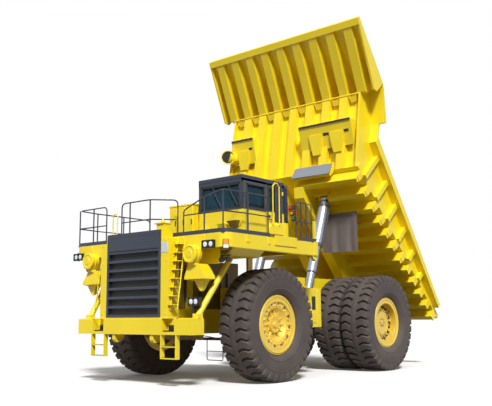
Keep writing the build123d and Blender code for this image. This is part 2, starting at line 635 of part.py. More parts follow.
pane_y = (front_y + 30, front_y + 30 + GLASS)
with BuildPart() as cab_glass:
    block(windscreen, pane_y, (SILL, HEADER))
    block((CAB_INNER + 200, CAB_OUTER - 200), (rear_y - 50, rear_y - 50 + GLASS), (SILL, HEADER))
    block((CAB_INNER + 35, CAB_INNER + 35 + GLASS), inner_window, (SILL, HEADER))
    block((CAB_OUTER - 45, CAB_OUTER - 45 + GLASS), quarter_window, (SILL, HEADER))
finish(cab_glass, "cab_glass")

door_low = FLOOR_TOP + DOOR_GAP
door_high = ROOF_LOW - DOOR_GAP
door_window = (door_span[0] + 90, door_span[1] - 90)
HINGE_BARREL = 18
door_axis = (CAB_OUTER + HINGE_BARREL + 4, fore(DOOR_REAR) + 3)
with BuildPart() as cab_door:
    block((CAB_OUTER - CAB_WALL, CAB_OUTER), door_span, (door_low, door_high))
    block((CAB_OUTER - CAB_WALL, CAB_OUTER), door_window, (SILL, HEADER), mode=Mode.SUBTRACT)
    grab_front, grab_rear = door_span[0] + 140, door_span[0] + 410
    grab_x = CAB_OUTER + 100
    rail([(CAB_OUTER - 5, grab_front, 4060), (grab_x, grab_front, 4060), (grab_x, grab_front, 5060),
          (grab_x, grab_front + 90, 5150), (grab_x, grab_rear - 90, 5150), (grab_x, grab_rear, 5060),
          (grab_x, grab_rear, 4060), (CAB_OUTER - 5, grab_rear, 4060)], 18)
    # hinge leaves and barrels on the door's rear edge
    for z in (3980, 4880):
        block((CAB_OUTER - 5, CAB_OUTER + 12), (door_axis[1] - 110, door_axis[1] - 5), (z, z + 90))
        bar((*door_axis, z - 5), (*door_axis, z + 95), HINGE_BARREL)
finish(cab_door, "cab_door")

with BuildPart() as door_glass:
    block((CAB_OUTER - 45, CAB_OUTER - 45 + GLASS), door_window, (SILL, HEADER))
finish(door_glass, "door_glass")

with BuildPart() as cab_interior:
    for x, y in ((2020, fore(560)), (1540, fore(420))):
        block((x - 210, x + 210), (y - 230, y + 230), (FLOOR_TOP + 330, FLOOR_TOP + 450))
        block((x - 200, x + 200), (y + 150, y + 260), (FLOOR_TOP + 450, FLOOR_TOP + 1050))
        block((x - 130, x + 130), (y - 130, y + 130), (FLOOR_TOP, FLOOR_TOP + 330))
    block((CAB_INNER + 100, CAB_OUTER - 100), (front_y + 90, front_y + 330), (FLOOR_TOP, FLOOR_TOP + 620))
    column_top = (2020, front_y + 520, FLOOR_TOP + 800)
    bar((2020, front_y + 300, FLOOR_TOP + 560), column_top, 30)
    with BuildSketch(Plane(origin=column_top, z_dir=(0, 0.68, 0.73))):
        Circle(220)
    extrude(amount=34)
finish(cab_interior, "cab_interior")

# ---- tanks ----------------------------------------------------------------------------------
TANK = [(aft(1950), 1380), (aft(2700), 1380), (aft(2700), 2500), (aft(1950), 2500)]
with BuildPart() as side_tanks:
    side_prism(TANK, 1350, 2050)
    mirror(about=Plane.YZ)
finish(side_tanks, "side_tanks")

# ---- bed ------------------------------------------------------------------------------------
FLOOR_PLATE = 60
tip = BED["tip"]
canopy_rear = BED["canopy_rear"]
rib_foot = BED["rib_foot"]
wing_foot = BED["wing_foot"]
rail_front = BED["rail_front"]
rail_tail = BED["rail_tail"]
floor_front = BED["floor_front"]
floor_tail = BED["floor_tail"]
wall_down = (Vector(*floor_front) - Vector(*rib_foot)).normalized()
wall_inward = Vector(-wall_down.Y, wall_down.X)      # from the ribs' face into the load space


def wall_point(end, depth):
    """Point so deep behind the ribs' face, level with one end of that face."""
    return (end[0] + wall_inward.X * depth, end[1] + wall_inward.Y * depth)


def wall_foot(depth):
    """Point so deep behind the ribs' face, where the wall meets the floor plate's top."""
    r, u = wall_point(floor_front, depth)
    drop = (u - floor_height(r) - FLOOR_PLATE) / (FLOOR_SLOPE * wall_down.X - wall_down.Y)
    return (r + wall_down.X * drop, u + wall_down.Y * drop)


def under_canopy(r):
    """Point of the canopy plate's underside."""
    share = (r - tip[0]) / (canopy_rear[0] - tip[0])
    return (r, tip[1] + (canopy_rear[1] - tip[1]) * share - PLATE)


plate_top = wall_point(rib_foot, WALL_RIB)
inner_top = wall_point(rib_foot, WALL_RIB + PLATE)
floor_lip = along(floor_front, wall_point(floor_front, WALL_RIB),
                  FLOOR_PLATE / (wall_inward.Y * WALL_RIB - FLOOR_SLOPE * wall_inward.X * WALL_RIB))
with BuildPart() as bed_floor:
    bed_prism([floor_front, floor_tail, (floor_tail[0], floor_tail[1] + FLOOR_PLATE), floor_lip],
              -BED_HALF, BED_HALF)
finish(bed_floor, "bed_floor")

BEAM_INNER = 340
BEAM_OUTER = 700
BEAM_LOW = REAR_RAIL_TOP - HINGE_Z + 30
FLAP_TOP = (-2750, 800)      # rod of the mud flaps in the bed's frame
FLAP_DROP = 1250
FLAP_ROD = 16
FLAP_LUGS = (835, 2200)      # x of the two lugs of one flap, outside the frame rail
flap_y, flap_z = bed_point(*FLAP_TOP)
CROSS_PLACES = (-3930, -3330, -2690, -2120, -1570, -1010, -450, 110, 670, 1230, 1790, 2350)
HOIST_CLEAR = 250            # half the gap in a cross member at each hoist
with BuildPart() as bed_cross_members:
    for r in CROSS_PLACES:
        u = floor_height(r)
        slope = FLOOR_SLOPE * CROSS_WIDTH / 2
        depth = CROSS_DEPTH if r < 0 else CROSS_DEPTH * 0.7
        outline = [(r - CROSS_WIDTH / 2, u - slope), (r + CROSS_WIDTH / 2, u + slope),
                   (r + CROSS_WIDTH / 2 - 50, u - depth), (r - CROSS_WIDTH / 2 + 50, u - depth)]
        bed_prism(outline, 700, BED_HALF + 110)
    bed_prism([(BED_PIN[0] - 330, 1300), (BED_PIN[0] + 420, 1300), (BED_PIN[0] + 420, 300),
               (BED_PIN[0] - 330, 300)], BEAM_OUTER, HOIST_X + HOIST_CLEAR, mode=Mode.SUBTRACT)
    # lugs that hold the mud flap's rod
    for x in FLAP_LUGS:
        r, u = FLAP_TOP
        bed_prism([(r - 60, u + 120), (r + 60, u + 120), (r + 30, u - 30), (r - 30, u - 30)], x - 10, x + 10)
        disc((x, flap_y, flap_z), FLAP_ROD + RUNNING_FIT, 60, mode=Mode.SUBTRACT)
    mirror(about=Plane.YZ)
finish(bed_cross_members, "bed_cross_members")

with BuildPart() as bed_beams:
    # main beams under the floor, with an ear down to the pivot and one at each hoist
    bed_prism([(-3980, floor_height(-3980)), (1500, floor_height(1500)), (1500, floor_height(1500) - 200),
               (500, BEAM_LOW), (-3700, BEAM_LOW), (-3980, BEAM_LOW + 200)], BEAM_INNER, BEAM_OUTER)
    ear_root = BEAM_LOW + 50
    bed_prism([(-200, ear_root), (200, ear_root), (150, 0), (-150, 0)], BEAM_INNER, BEAM_INNER + 120)
    disc((BEAM_INNER + 60, HINGE_Y, HINGE_Z), 180, 120)
    disc((BEAM_INNER + 60, HINGE_Y, HINGE_Z), PIVOT_RADIUS + RUNNING_FIT, 200, mode=Mode.SUBTRACT)
    pin_r, pin_u = BED_PIN
    ear_fore, ear_aft = on_floor(pin_r - 200), on_floor(pin_r + 200)
    for low, high in ear_x:
        bed_prism([ear_fore, ear_aft, (pin_r + 100, pin_u - 110), (pin_r - 100, pin_u - 110)], low, high)
    bed_prism([ear_fore, on_floor(pin_r - 150), (pin_r - 150, pin_u - 40), (pin_r - 200, pin_u - 40)],
              BEAM_OUTER - 10, ear_x[1][1])
    disc((HOIST_X, *bed_point(*BED_PIN)), HOIST_PIN + RUNNING_FIT, 400, mode=Mode.SUBTRACT)
    mirror(about=Plane.YZ)
finish(bed_beams, "bed_beams")

with BuildPart() as bed_front_wall:
    bed_prism([plate_top, wall_foot(WALL_RIB), wall_foot(WALL_RIB + PLATE), inner_top], -BED_HALF, BED_HALF)
finish(bed_front_wall, "bed_front_wall")

leg_r = plate_top[0]
with BuildPart() as bed_canopy:
    bed_prism([tip, canopy_rear, under_canopy(canopy_rear[0]), under_canopy(tip[0])], -CANOPY_HALF, CANOPY_HALF)
    bed_prism([under_canopy(leg_r), plate_top, inner_top, under_canopy(inner_top[0])], -BED_HALF, BED_HALF)
finish(bed_canopy, "bed_canopy")

RIB_WIDTH = 300
EDGE_BEAM = 190
rib_places = [n * RIB_PITCH for n in range(-4, 5)]
# Deflector boxes on the front wall: x from, x to, share of the wall's height at foot and head, reach
DEFLECTORS = ((500, BED_HALF - 80, 0.31, 0.62, 300), (150 - BED_HALF, 1150 - BED_HALF, 0.29, 0.62, 300))
with BuildPart() as bed_front_ribs:
    tip_under = under_canopy(tip[0])
    tip_low = (tip_under[0], tip_under[1] - 60)
    canopy_rib = [tip_under, under_canopy(leg_r), plate_top, rib_foot, tip_low]
    for x in rib_places:
        bed_prism(canopy_rib, x - RIB_WIDTH / 2, x + RIB_WIDTH / 2)
    for side in (LEFT, RIGHT):
        bed_prism(canopy_rib, side * (CANOPY_HALF - 60), side * CANOPY_HALF)
    beam_top = under_canopy(tip[0] + EDGE_BEAM)
    bed_prism([tip_under, beam_top, (beam_top[0], beam_top[1] - 130), tip_low], -CANOPY_HALF, CANOPY_HALF)
    for x in rib_places[1:-1]:
        bed_prism([rib_foot, floor_front, floor_lip, wall_foot(WALL_RIB), plate_top],
                  x - RIB_WIDTH / 2, x + RIB_WIDTH / 2)
    for x_low, x_high, foot_share, head_share, reach in DEFLECTORS:
        foot = along(floor_front, rib_foot, foot_share)
        head = along(floor_front, rib_foot, head_share)
        bed_prism([wall_point(foot, 30), wall_point(head, 30), wall_point(head, -reach)], x_low, x_high)
finish(bed_front_ribs, "bed_front_ribs")

SIDE_PLATE = 60
TOP_RAIL_OUT = 2920
for name, side in (("bed_left_side", LEFT), ("bed_right_side", RIGHT)):
    with BuildPart() as bed_side:
        tail_top = (floor_tail[0], TAIL_HEIGHT)
        wing_head = under_canopy(canopy_rear[0])
        bed_prism([floor_front, floor_tail, tail_top, rail_tail, rail_front, wing_foot, wing_head,
                   under_canopy(leg_r), plate_top, rib_foot], side * BED_HALF, side * (BED_HALF + SIDE_PLATE))
        # top rail, lower rail, posts between them
        bed_prism([rail_front, rail_tail, (rail_tail[0], rail_tail[1] - 160),
                   (rail_front[0], rail_front[1] - 260)], side * BED_HALF, side * TOP_RAIL_OUT)
        bed_prism([floor_front, floor_tail, (floor_tail[0], floor_tail[1] + 130),
                   (floor_front[0], floor_front[1] + 220)], side * BED_HALF, side * (BED_HALF + 110))
        for index in range(6):
            r = rail_front[0] + 500 + index * 900
            high = along(rail_front, rail_tail, (r - rail_front[0]) / (rail_tail[0] - rail_front[0]))[1]
            bed_prism([on_floor(r), on_floor(r + 160), (r + 160, high - 30), (r, high - 10)],
                      side * BED_HALF, side * (BED_HALF + 200))
        # forward facing wing that closes the canopy's end down to the rail
        wing_back = (wing_foot[0] + 60, wing_foot[1] + 50)
        bed_prism([wing_head, wing_foot, wing_back, (wing_head[0] + 70, wing_head[1])],
                  side * BED_HALF, side * CANOPY_HALF)
        bed_prism([wing_foot, wing_back, (rail_front[0] + 60, rail_front[1] - 100),
                   (rail_front[0], rail_front[1] - 100)], side * BED_HALF, side * TOP_RAIL_OUT)
    finish(bed_side, name)

with BuildPart() as mud_flaps:
    block((FLAP_LUGS[0] + 20, FLAP_LUGS[1] - 20), (flap_y - 12, flap_y + 12), (flap_z - FLAP_DROP, flap_z))
    bar((FLAP_LUGS[0] - 12, flap_y, flap_z), (FLAP_LUGS[1] + 12, flap_y, flap_z), FLAP_ROD)
    mirror(about=Plane.YZ)
finish(mud_flaps, "mud_flaps")

# ---- hoists: housing on the bed, stage, rod down to the frame ---------------------------------
bed_pin = Vector(0, *bed_point(*BED_PIN))
frame_pin = Vector(0, pin_y, FRAME_PIN[1])
hoist_line = (bed_pin - frame_pin).normalized()
hoist_length = (bed_pin - frame_pin).length
ROD_RADIUS = 125
STAGE_RADIUS = 150
HOUSING_OUTER = 185
HOUSING_LENGTH = 1720
HOUSING_HEAD = 170          # solid head between the eye and the tube
STAGE_SHOWS = 900
STAGE_LENGTH = 1500
ROD_SHOWS = hoist_length - HOUSING_LENGTH - STAGE_SHOWS
ROD_INSIDE = 80
EYE_WIDTH = 216
for label, side in (("left", LEFT), ("right", RIGHT)):
    def at(distance, hoist_side=side):
        """Point on a hoist's axis so far above the frame pin."""
        point = frame_pin + hoist_line * distance
        return (hoist_side * HOIST_X, point.Y, point.Z)

    with BuildPart() as hoist_housing:
        mouth = hoist_length - HOUSING_LENGTH
        bar(at(hoist_length - HOUSING_HEAD), at(mouth), HOUSING_OUTER)
        bar(at(hoist_length - HOUSING_HEAD - 80), at(mouth - 1), STAGE_RADIUS + RUNNING_FIT, mode=Mode.SUBTRACT)
        bar(at(hoist_length), at(hoist_length - HOUSING_HEAD - 40), 100)
        disc(at(hoist_length), 130, EYE_WIDTH)
        disc(at(hoist_length), HOIST_PIN, 2 * (ear_x[1][1] - HOIST_X) + 30)
    finish(hoist_housing, f"hoist_{label}_housing")

    with BuildPart() as hoist_stage:
        stage_low = ROD_SHOWS
        bar(at(stage_low), at(stage_low + STAGE_LENGTH), STAGE_RADIUS)
        bar(at(stage_low - 1), at(stage_low + STAGE_LENGTH + 1), ROD_RADIUS + RUNNING_FIT, mode=Mode.SUBTRACT)
    finish(hoist_stage, f"hoist_{label}_stage")

    with BuildPart() as hoist_rod:
        bar(at(100), at(ROD_SHOWS + ROD_INSIDE), ROD_RADIUS)
        disc(at(0), 130, EYE_WIDTH)
    finish(hoist_rod, f"hoist_{label}_rod")
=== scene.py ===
"""Mining dump truck with its bed raised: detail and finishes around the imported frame.

Metres, +Z up, ground at Z = 0. The truck faces -Y and its cab stands on its left side, +X.
"""
import json
import math

import bmesh
import bpy
from bpy.props import FloatProperty, FloatVectorProperty, IntProperty, PointerProperty
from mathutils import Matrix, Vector


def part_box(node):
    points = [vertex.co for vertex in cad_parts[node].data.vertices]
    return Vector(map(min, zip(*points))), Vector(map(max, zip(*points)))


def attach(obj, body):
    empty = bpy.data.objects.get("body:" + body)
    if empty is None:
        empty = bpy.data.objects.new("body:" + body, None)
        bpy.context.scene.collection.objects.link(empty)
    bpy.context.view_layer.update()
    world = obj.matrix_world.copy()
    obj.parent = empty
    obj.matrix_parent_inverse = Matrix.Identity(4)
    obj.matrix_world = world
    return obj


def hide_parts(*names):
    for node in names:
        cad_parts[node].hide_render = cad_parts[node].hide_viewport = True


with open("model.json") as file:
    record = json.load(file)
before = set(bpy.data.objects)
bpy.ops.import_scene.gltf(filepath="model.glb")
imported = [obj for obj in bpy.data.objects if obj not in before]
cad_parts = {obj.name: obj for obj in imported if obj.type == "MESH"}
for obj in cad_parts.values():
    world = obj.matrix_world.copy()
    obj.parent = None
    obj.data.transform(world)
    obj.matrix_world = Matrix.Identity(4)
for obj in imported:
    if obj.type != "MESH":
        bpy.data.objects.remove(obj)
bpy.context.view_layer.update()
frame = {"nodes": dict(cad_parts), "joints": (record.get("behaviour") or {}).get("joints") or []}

bl_info = {
    "name": "Mining truck detail",
    "version": (1, 0, 0),
    "blender": (4, 5, 0),
    "location": "View3D > Sidebar > Truck",
    "description": "Builds tyres, trim, finishes and stage around the truck's frame",
    "category": "Object",
}

# ---- places taken from the frame --------------------------------------------------------
JOINTS = {joint["name"]: joint for joint in frame["joints"]}
AXLE_Y = JOINTS["steer_left"]["pos_m"][1]
HINGE = Vector(JOINTS["bed_tilt"]["pos_m"])
RAISED = math.radians(JOINTS["bed_tilt"]["range_deg"][1])
BED_AFT = Vector((0, math.cos(RAISED), -math.sin(RAISED)))
BED_UP = Vector((0, math.sin(RAISED), math.cos(RAISED)))
SIDES = (("left", 1), ("right", -1))
TAU = 2 * math.pi
AHEAD = (0, -1, 0)
UPWARD = (0, 0, 1)

# Corners of the bed's side outline in its own frame: distance behind the hinge, height over it.
RIB_FOOT = (-5.81, 3.08)
FLOOR_FRONT = (-4.22, 1.13)
FLOOR_TAIL = (2.64, 1.72)
BED_HALF = 2.6
RIB_PITCH = 0.675

DECK_FRONT = 2.45  # how far the decks reach ahead of the front axle
DECK_CORNER = 0.26
STRUT_X = 1.45
LOUVRE_PITCH = 0.055
LOUVRES = 17
GUARD_PITCH = 0.047
SEAM_LAP = 0.002
EVERYWHERE = 20.0  # reach of a paint region that covers the whole truck


def fore(distance):
    """Y of a place so far ahead of the front axle."""
    return AXLE_Y - distance


def aft(distance):
    """Y of a place so far behind the front axle."""
    return AXLE_Y + distance


def bed(x, r, u):
    """Row-frame point of a place in the bed's own frame."""
    return Vector((x, HINGE.y, HINGE.z)) + BED_AFT * r + BED_UP * u


def middle(node):
    """Middle of a CAD node's box."""
    low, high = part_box(node)
    return (low + high) / 2


def mix(a, b, share):
    """Value or tuple part of the way from a to b."""
    if isinstance(a, (tuple, list)):
        return tuple(p + (q - p) * share for p, q in zip(a, b))
    return a + (b - a) * share


def turns(count):
    """Even turns about an axis."""
    return [TAU * index / count for index in range(count)]


def around(start, direction):
    """Function that gives a place about a line from its distance along it, radius and turn."""
    direction = Vector(direction).normalized()
    across = direction.orthogonal().normalized()
    other = direction.cross(across)
    start = Vector(start)
    return lambda distance, radius, turn: (
        start + direction * distance + (across * math.cos(turn) + other * math.sin(turn)) * radius)


# ---- sizes and colours that a user would change -----------------------------------------
def size(name, default, text):
    """A length in metres that the panel shows."""
    return FloatProperty(name=name, default=default, description=text, unit="LENGTH", min=0.0)


def colour(name, default, text):
    """A colour that the panel shows."""
    return FloatVectorProperty(name=name, default=default, description=text, subtype="COLOR", size=3, min=0,
                               max=1)


class TruckSizes(bpy.types.PropertyGroup):
    """Sizes of the trim."""

    lug_count: IntProperty(name="Tread lugs", default=36, description="Lugs in one row of a tyre's tread",
                           min=12)
    groove: size("Tread groove", 0.068, "Gap between two lugs")
    bolt: size("Bolt head", 0.022, "Radius of the plain bolt heads")
    wheel_nut: size("Wheel nut", 0.03, "Radius of the nuts on the rims")
    grille_slots: IntProperty(name="Grille slots", default=7,
                              description="Openings between the grille's bars", min=2)
    kick_strip: size("Kick strip", 0.1, "Height of the strip round the decks")
    fold: size("Flap folds", 0.035, "Depth of the folds in the mud flaps")


class TruckColours(bpy.types.PropertyGroup):
    """Colours of the finishes."""

    yellow: colour("Yellow paint", (0.95, 0.73, 0.006), "Body, bed and frame")
    navy: colour("Navy paint", (0.015, 0.023, 0.044), "Cab frame, grille and rails")
    rim: colour("Rim paint", (0.86, 0.60, 0.045), "Rims and hubs")
    rubber: colour("Tyre rubber", (0.058, 0.046, 0.045), "Tyres")
    flap: colour("Flap rubber", (0.14, 0.115, 0.11), "Mud flaps")
    # also the colour of the painted shade in the gaps beside the wheel clamps
    steel: colour("Dark steel", (0.05, 0.05, 0.055), "Running gear under the truck")
    dust: colour("Dust", (0.42, 0.34, 0.22), "Dust that settles on every finish")


# ---- closed solids gathered into one mesh ------------------------------------------------
class Solids:
    """Gathers closed solids into one mesh. Each takes the finish that is current when it is added."""

    def __init__(self):
        self.mesh = bmesh.new()
        self.finish = 0

    def loft(self, rings, closed=False):
        """Skin between rings of equally many points, capped at both ends unless it closes on itself."""
        rows = [[self.mesh.verts.new(point) for point in ring] for ring in rings]
        count = len(rows[0])
        pairs = list(zip(rows, rows[1:]))
        if closed:
            pairs.append((rows[-1], rows[0]))
        faces = [(a[i], a[(i + 1) % count], b[(i + 1) % count], b[i]) for a, b in pairs for i in range(count)]
        if not closed:
            faces += [tuple(reversed(rows[0])), tuple(rows[-1])]
        for corners in faces:
            self.mesh.faces.new(corners).material_index = self.finish

    def prism(self, axis, points, start, end):
        """Outline of the other two coordinates pushed along one axis."""
        def placed(pair, along):
            values = list(pair)
            values.insert(axis, along)
            return Vector(values)
        self.loft([[placed(p, along) for p in points] for along in (start, end)])

    def box(self, x, y, z):
        """Box between two ends along each axis."""
        self.prism(2, [(x[0], y[0]), (x[1], y[0]), (x[1], y[1]), (x[0], y[1])], *z)

    def bed_prism(self, points, x_from, x_to):
        """Outline in the bed's own side frame pushed along X."""
        self.loft([[bed(x, *p) for p in points] for x in (x_from, x_to)])

    def wall_strip(self, outline, x_from, x_to):
        """Outline of (share, out) places on the bed's front wall pushed along X."""
        self.loft([[wall_place(x, *p) for p in outline] for x in (x_from, x_to)])

    def plate(self, base, facing, across, outline, depths):
        """Upright outline of (sideways, height) points between two depths along its facing."""
        self.loft([[base + facing * depth + across * a + Vector((0, 0, z)) for a, z in outline]
                   for depth in depths])

    def turned(self, start, direction, stations, sides=24):
        """Solid of revolution: (distance, radius) stations along a direction."""
        place = around(start, direction)
        self.loft([[place(distance, radius, turn) for turn in turns(sides)] for distance, radius in stations])

    def tube(self, path, radius, sides=10):
        """Round bar through the points of a path, mitred at its corners."""
        path = [Vector(p) for p in path]
        rings = []
        side = (path[1] - path[0]).orthogonal().normalized()
        for i, point in enumerate(path):
            before = (point - path[max(i - 1, 0)]).normalized()
            after = (path[min(i + 1, len(path) - 1)] - point).normalized()
            along = (before + after).normalized()
            stretch = 1 / max(0.4, along.dot(after if i < len(path) - 1 else before))
            side = (side - along * side.dot(along)).normalized()
            other = along.cross(side)
            reach = radius * (stretch if 0 < i < len(path) - 1 else 1)
            rings.append([point + (side * math.cos(turn) + other * math.sin(turn)) * reach
                          for turn in turns(sides)])
        self.loft(rings)

    def bent(self, corners, radius, bend=0.09, sides=10):
        """Round tube through corners that are bent to an even radius."""
        corners = [Vector(p) for p in corners]
        path = [corners[0]]
        for before, corner, after in zip(corners, corners[1:], corners[2:]):
            reach = min(bend, (before - corner).length * 0.45, (after - corner).length * 0.45)
            a = corner + (before - corner).normalized() * reach
            b = corner + (after - corner).normalized() * reach
            path += [a * (1 - t) ** 2 + corner * 2 * t * (1 - t) + b * t ** 2
                     for t in (0, 0.25, 0.5, 0.75, 1)]
        self.tube(path + [corners[-1]], radius, sides)

    def wheel_ring(self, centre, side, profile, steps=96):
        """Closed (outward, radius) profile turned about an axis along X."""
        rings = []
        for turn in turns(steps):
            rings.append([centre + Vector((side * out, radius * math.cos(turn), radius * math.sin(turn)))
                          for out, radius in profile])
        self.loft(rings, closed=True)

    def collar(self, start, direction, profile, sides=32):
        """Ring of a closed (distance, radius) profile about a line."""
        place = around(start, direction)
        self.loft([[place(distance, radius, turn) for distance, radius in profile] for turn in turns(sides)],
                  closed=True)

    def take(self, mesh):
        """Add a finished mesh in the current finish."""
        before = len(self.mesh.faces)
        self.mesh.from_mesh(mesh)
        self.mesh.faces.ensure_lookup_table()
        for face in self.mesh.faces[before:]:
            face.material_index = self.finish

    def piece(self, name, finishes, body, slot, replaces=(), bevel=0.0, sharp=35.0):
        """Turn what was gathered into a piece of the truck on one body."""
        bmesh.ops.recalc_face_normals(self.mesh, faces=self.mesh.faces[:])
        data = bpy.data.meshes.new(name)
        self.mesh.to_mesh(data)
        self.mesh.free()
        for finish in finishes if isinstance(finishes, (tuple, list)) else [finishes]:
            data.materials.append(bpy.data.materials[finish])
        data.shade_smooth()
        data.set_sharp_from_angle(angle=math.radians(sharp))
        piece = bpy.data.objects.new(name, data)
        bpy.context.scene.collection.objects.link(piece)
        if bevel:
            rounding = piece.modifiers.new("rounding", "BEVEL")
            rounding.width = bevel
            rounding.segments = 2
            rounding.limit_method = "ANGLE"
            rounding.angle_limit = math.radians(40)
            rounding.harden_normals = False
        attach(piece, body)
        if replaces:
            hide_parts(*replaces)
        return piece


# ---- geometry node trees for what repeats ------------------------------------------------
class Wires:
    """Short way to add and link the nodes of one tree."""

    def __init__(self, tree):
        self.tree = tree

    def add(self, kind, sockets=(), **settings):
        """New node with its settings, linked or set inputs."""
        node = self.tree.nodes.new(kind)
        for key, value in settings.items():
            setattr(node, key, value)
        for key, value in dict(sockets).items():
            if isinstance(value, bpy.types.NodeSocket):
                self.tree.links.new(value, node.inputs[key])
            else:
                node.inputs[key].default_value = value
        return node

    def maths(self, operation, first, second=0.0, clamp=False):
        """Result of a Math node."""
        return self.add("ShaderNodeMath", {0: first, 1: second}, operation=operation,
                        use_clamp=clamp).outputs[0]

    def tint(self, share, first, second, blend="MIX"):
        """Result of a colour Mix node."""
        return self.add("ShaderNodeMix", {0: share, 6: first, 7: second}, data_type="RGBA",
                        blend_type=blend).outputs[2]


    def group(self, kind, sockets):
        """Outputs of a shader group placed with its own values."""
        return self.add("ShaderNodeGroup", sockets, node_tree=bpy.data.node_groups[kind]).outputs

    def seen(self):
        """1 for rays that show a thing to the camera, straight or in a gloss or glass."""
        path = self.add("ShaderNodeLightPath").outputs
        direct = self.maths("MAXIMUM", path["Is Camera Ray"], path["Is Glossy Ray"])
        return self.maths("MAXIMUM", direct, path["Is Transmission Ray"])


def grown_tree(name, inputs, wire):
    """Geometry tree with named inputs; wire() returns the instances, which are made real and painted."""
    tree = bpy.data.node_groups.new(name, "GeometryNodeTree")
    tree.interface.new_socket("Part", in_out="INPUT", socket_type="NodeSocketGeometry")
    for label, kind, default in inputs:
        tree.interface.new_socket(label, in_out="INPUT", socket_type=kind).default_value = default
    tree.interface.new_socket("Material", in_out="INPUT", socket_type="NodeSocketMaterial")
    tree.interface.new_socket("Made", in_out="OUTPUT", socket_type="NodeSocketGeometry")
    wires = Wires(tree)
    given = wires.add("NodeGroupInput").outputs
    real = wires.add("GeometryNodeRealizeInstances", {0: wire(wires, given)})
    painted = wires.add("GeometryNodeSetMaterial", {"Geometry": real.outputs[0],
                                                    "Material": given["Material"]})
    wires.add("NodeGroupOutput", {0: painted.outputs[0]})
    return tree


def ring_of_parts(wires, given):
    """The part repeated round an axis along X."""
    points = wires.add("GeometryNodePoints", {"Count": given["Count"], "Position": given["Centre"]})
    share = wires.maths("DIVIDE", wires.add("GeometryNodeInputIndex").outputs[0], given["Count"])
    turn = wires.add("ShaderNodeCombineXYZ", {"X": wires.maths("MULTIPLY", share, TAU)})
    rotation = wires.add("FunctionNodeEulerToRotation", {0: turn.outputs[0]})
    placed = wires.add("GeometryNodeInstanceOnPoints", {
        "Points": points.outputs[0], "Instance": given["Part"], "Rotation": rotation.outputs[0]})
    return placed.outputs[0]


def row_of_parts(wires, given):
    """The part repeated in even steps."""
    line = wires.add("GeometryNodeMeshLine", {"Count": given["Count"], "Offset": given["Step"]})
    placed = wires.add("GeometryNodeInstanceOnPoints", {"Points": line.outputs[0], "Instance": given["Part"]})
    return placed.outputs[0]


def bolt_heads(wires, given):
    """A bolt head on each guide point, turned to that point's facing."""
    head = wires.add("GeometryNodeMeshCylinder", {"Vertices": given["Corners"], "Side Segments": 1,
                                                  "Radius": given["Radius"], "Depth": given["Height"]})
    facing = wires.add("GeometryNodeInputNamedAttribute", {"Name": "facing"}, data_type="FLOAT_VECTOR")
    turn = wires.add("FunctionNodeAlignRotationToVector", {"Vector": facing.outputs[0]}, axis="Z")
    placed = wires.add("GeometryNodeInstanceOnPoints", {
        "Points": given["Part"], "Instance": head.outputs["Mesh"], "Rotation": turn.outputs[0]})
    return placed.outputs[0]


def grow(part, tree, finish, **values):
    """Plain mesh that a tree makes from a part."""
    carrier = bpy.data.objects.new("carrier", part)
    bpy.context.scene.collection.objects.link(carrier)
    modifier = carrier.modifiers.new("grow", "NODES")
    modifier.node_group = bpy.data.node_groups[tree]
    values["Material"] = bpy.data.materials[finish]
    for item in modifier.node_group.interface.items_tree:
        if item.in_out == "INPUT" and item.name.replace(" ", "_") in values:
            modifier[item.identifier] = values[item.name.replace(" ", "_")]
    made = bpy.data.meshes.new_from_object(carrier.evaluated_get(bpy.context.evaluated_depsgraph_get()))
    bpy.data.objects.remove(carrier)
    return made


def part_mesh(solids):
    """Plain mesh of gathered solids, to be repeated by a tree."""
    bmesh.ops.recalc_face_normals(solids.mesh, faces=solids.mesh.faces[:])
    data = bpy.data.meshes.new("part")
    solids.mesh.to_mesh(data)
    solids.mesh.free()
    return data


def add_bolts(solids, points, finish, radius=None, height=0.02, corners=6):
    """Bolt heads at (place, facing) pairs."""
    data = bpy.data.meshes.new("guide")
    data.from_pydata([place for place, _ in points], [], [])
    facing = data.attributes.new("facing", "FLOAT_VECTOR", "POINT")
    facing.data.foreach_set("vector", [value for _, way in points for value in way])
    radius = radius or bpy.context.scene.truck_sizes.bolt
    solids.take(grow(data, "bolt_heads", finish, Radius=radius, Height=height * 2, Corners=corners))


def add_ring(solids, part, centre, count, finish):
    """A part repeated round a wheel's axis."""
    solids.take(grow(part_mesh(part), "ring_of_parts", finish, Centre=centre, Count=count))


def add_row(solids, part, step, count, finish):
    """A part repeated in even steps."""
    solids.take(grow(part_mesh(part), "row_of_parts", finish, Step=step, Count=count))


# ---- shader groups -------------------------------------------------------------------------
def shader_group(name, inputs, outputs, wire):
    """Shader group with named inputs and outputs, built once."""
    tree = bpy.data.node_groups.new(name, "ShaderNodeTree")
    for label, kind, default in inputs:
        tree.interface.new_socket(label, in_out="INPUT", socket_type=kind).default_value = default
    for label, kind in outputs:
        tree.interface.new_socket(label, in_out="OUTPUT", socket_type=kind)
    wires = Wires(tree)
    wires.add("NodeGroupOutput", wire(wires, wires.add("NodeGroupInput").outputs))
    return tree


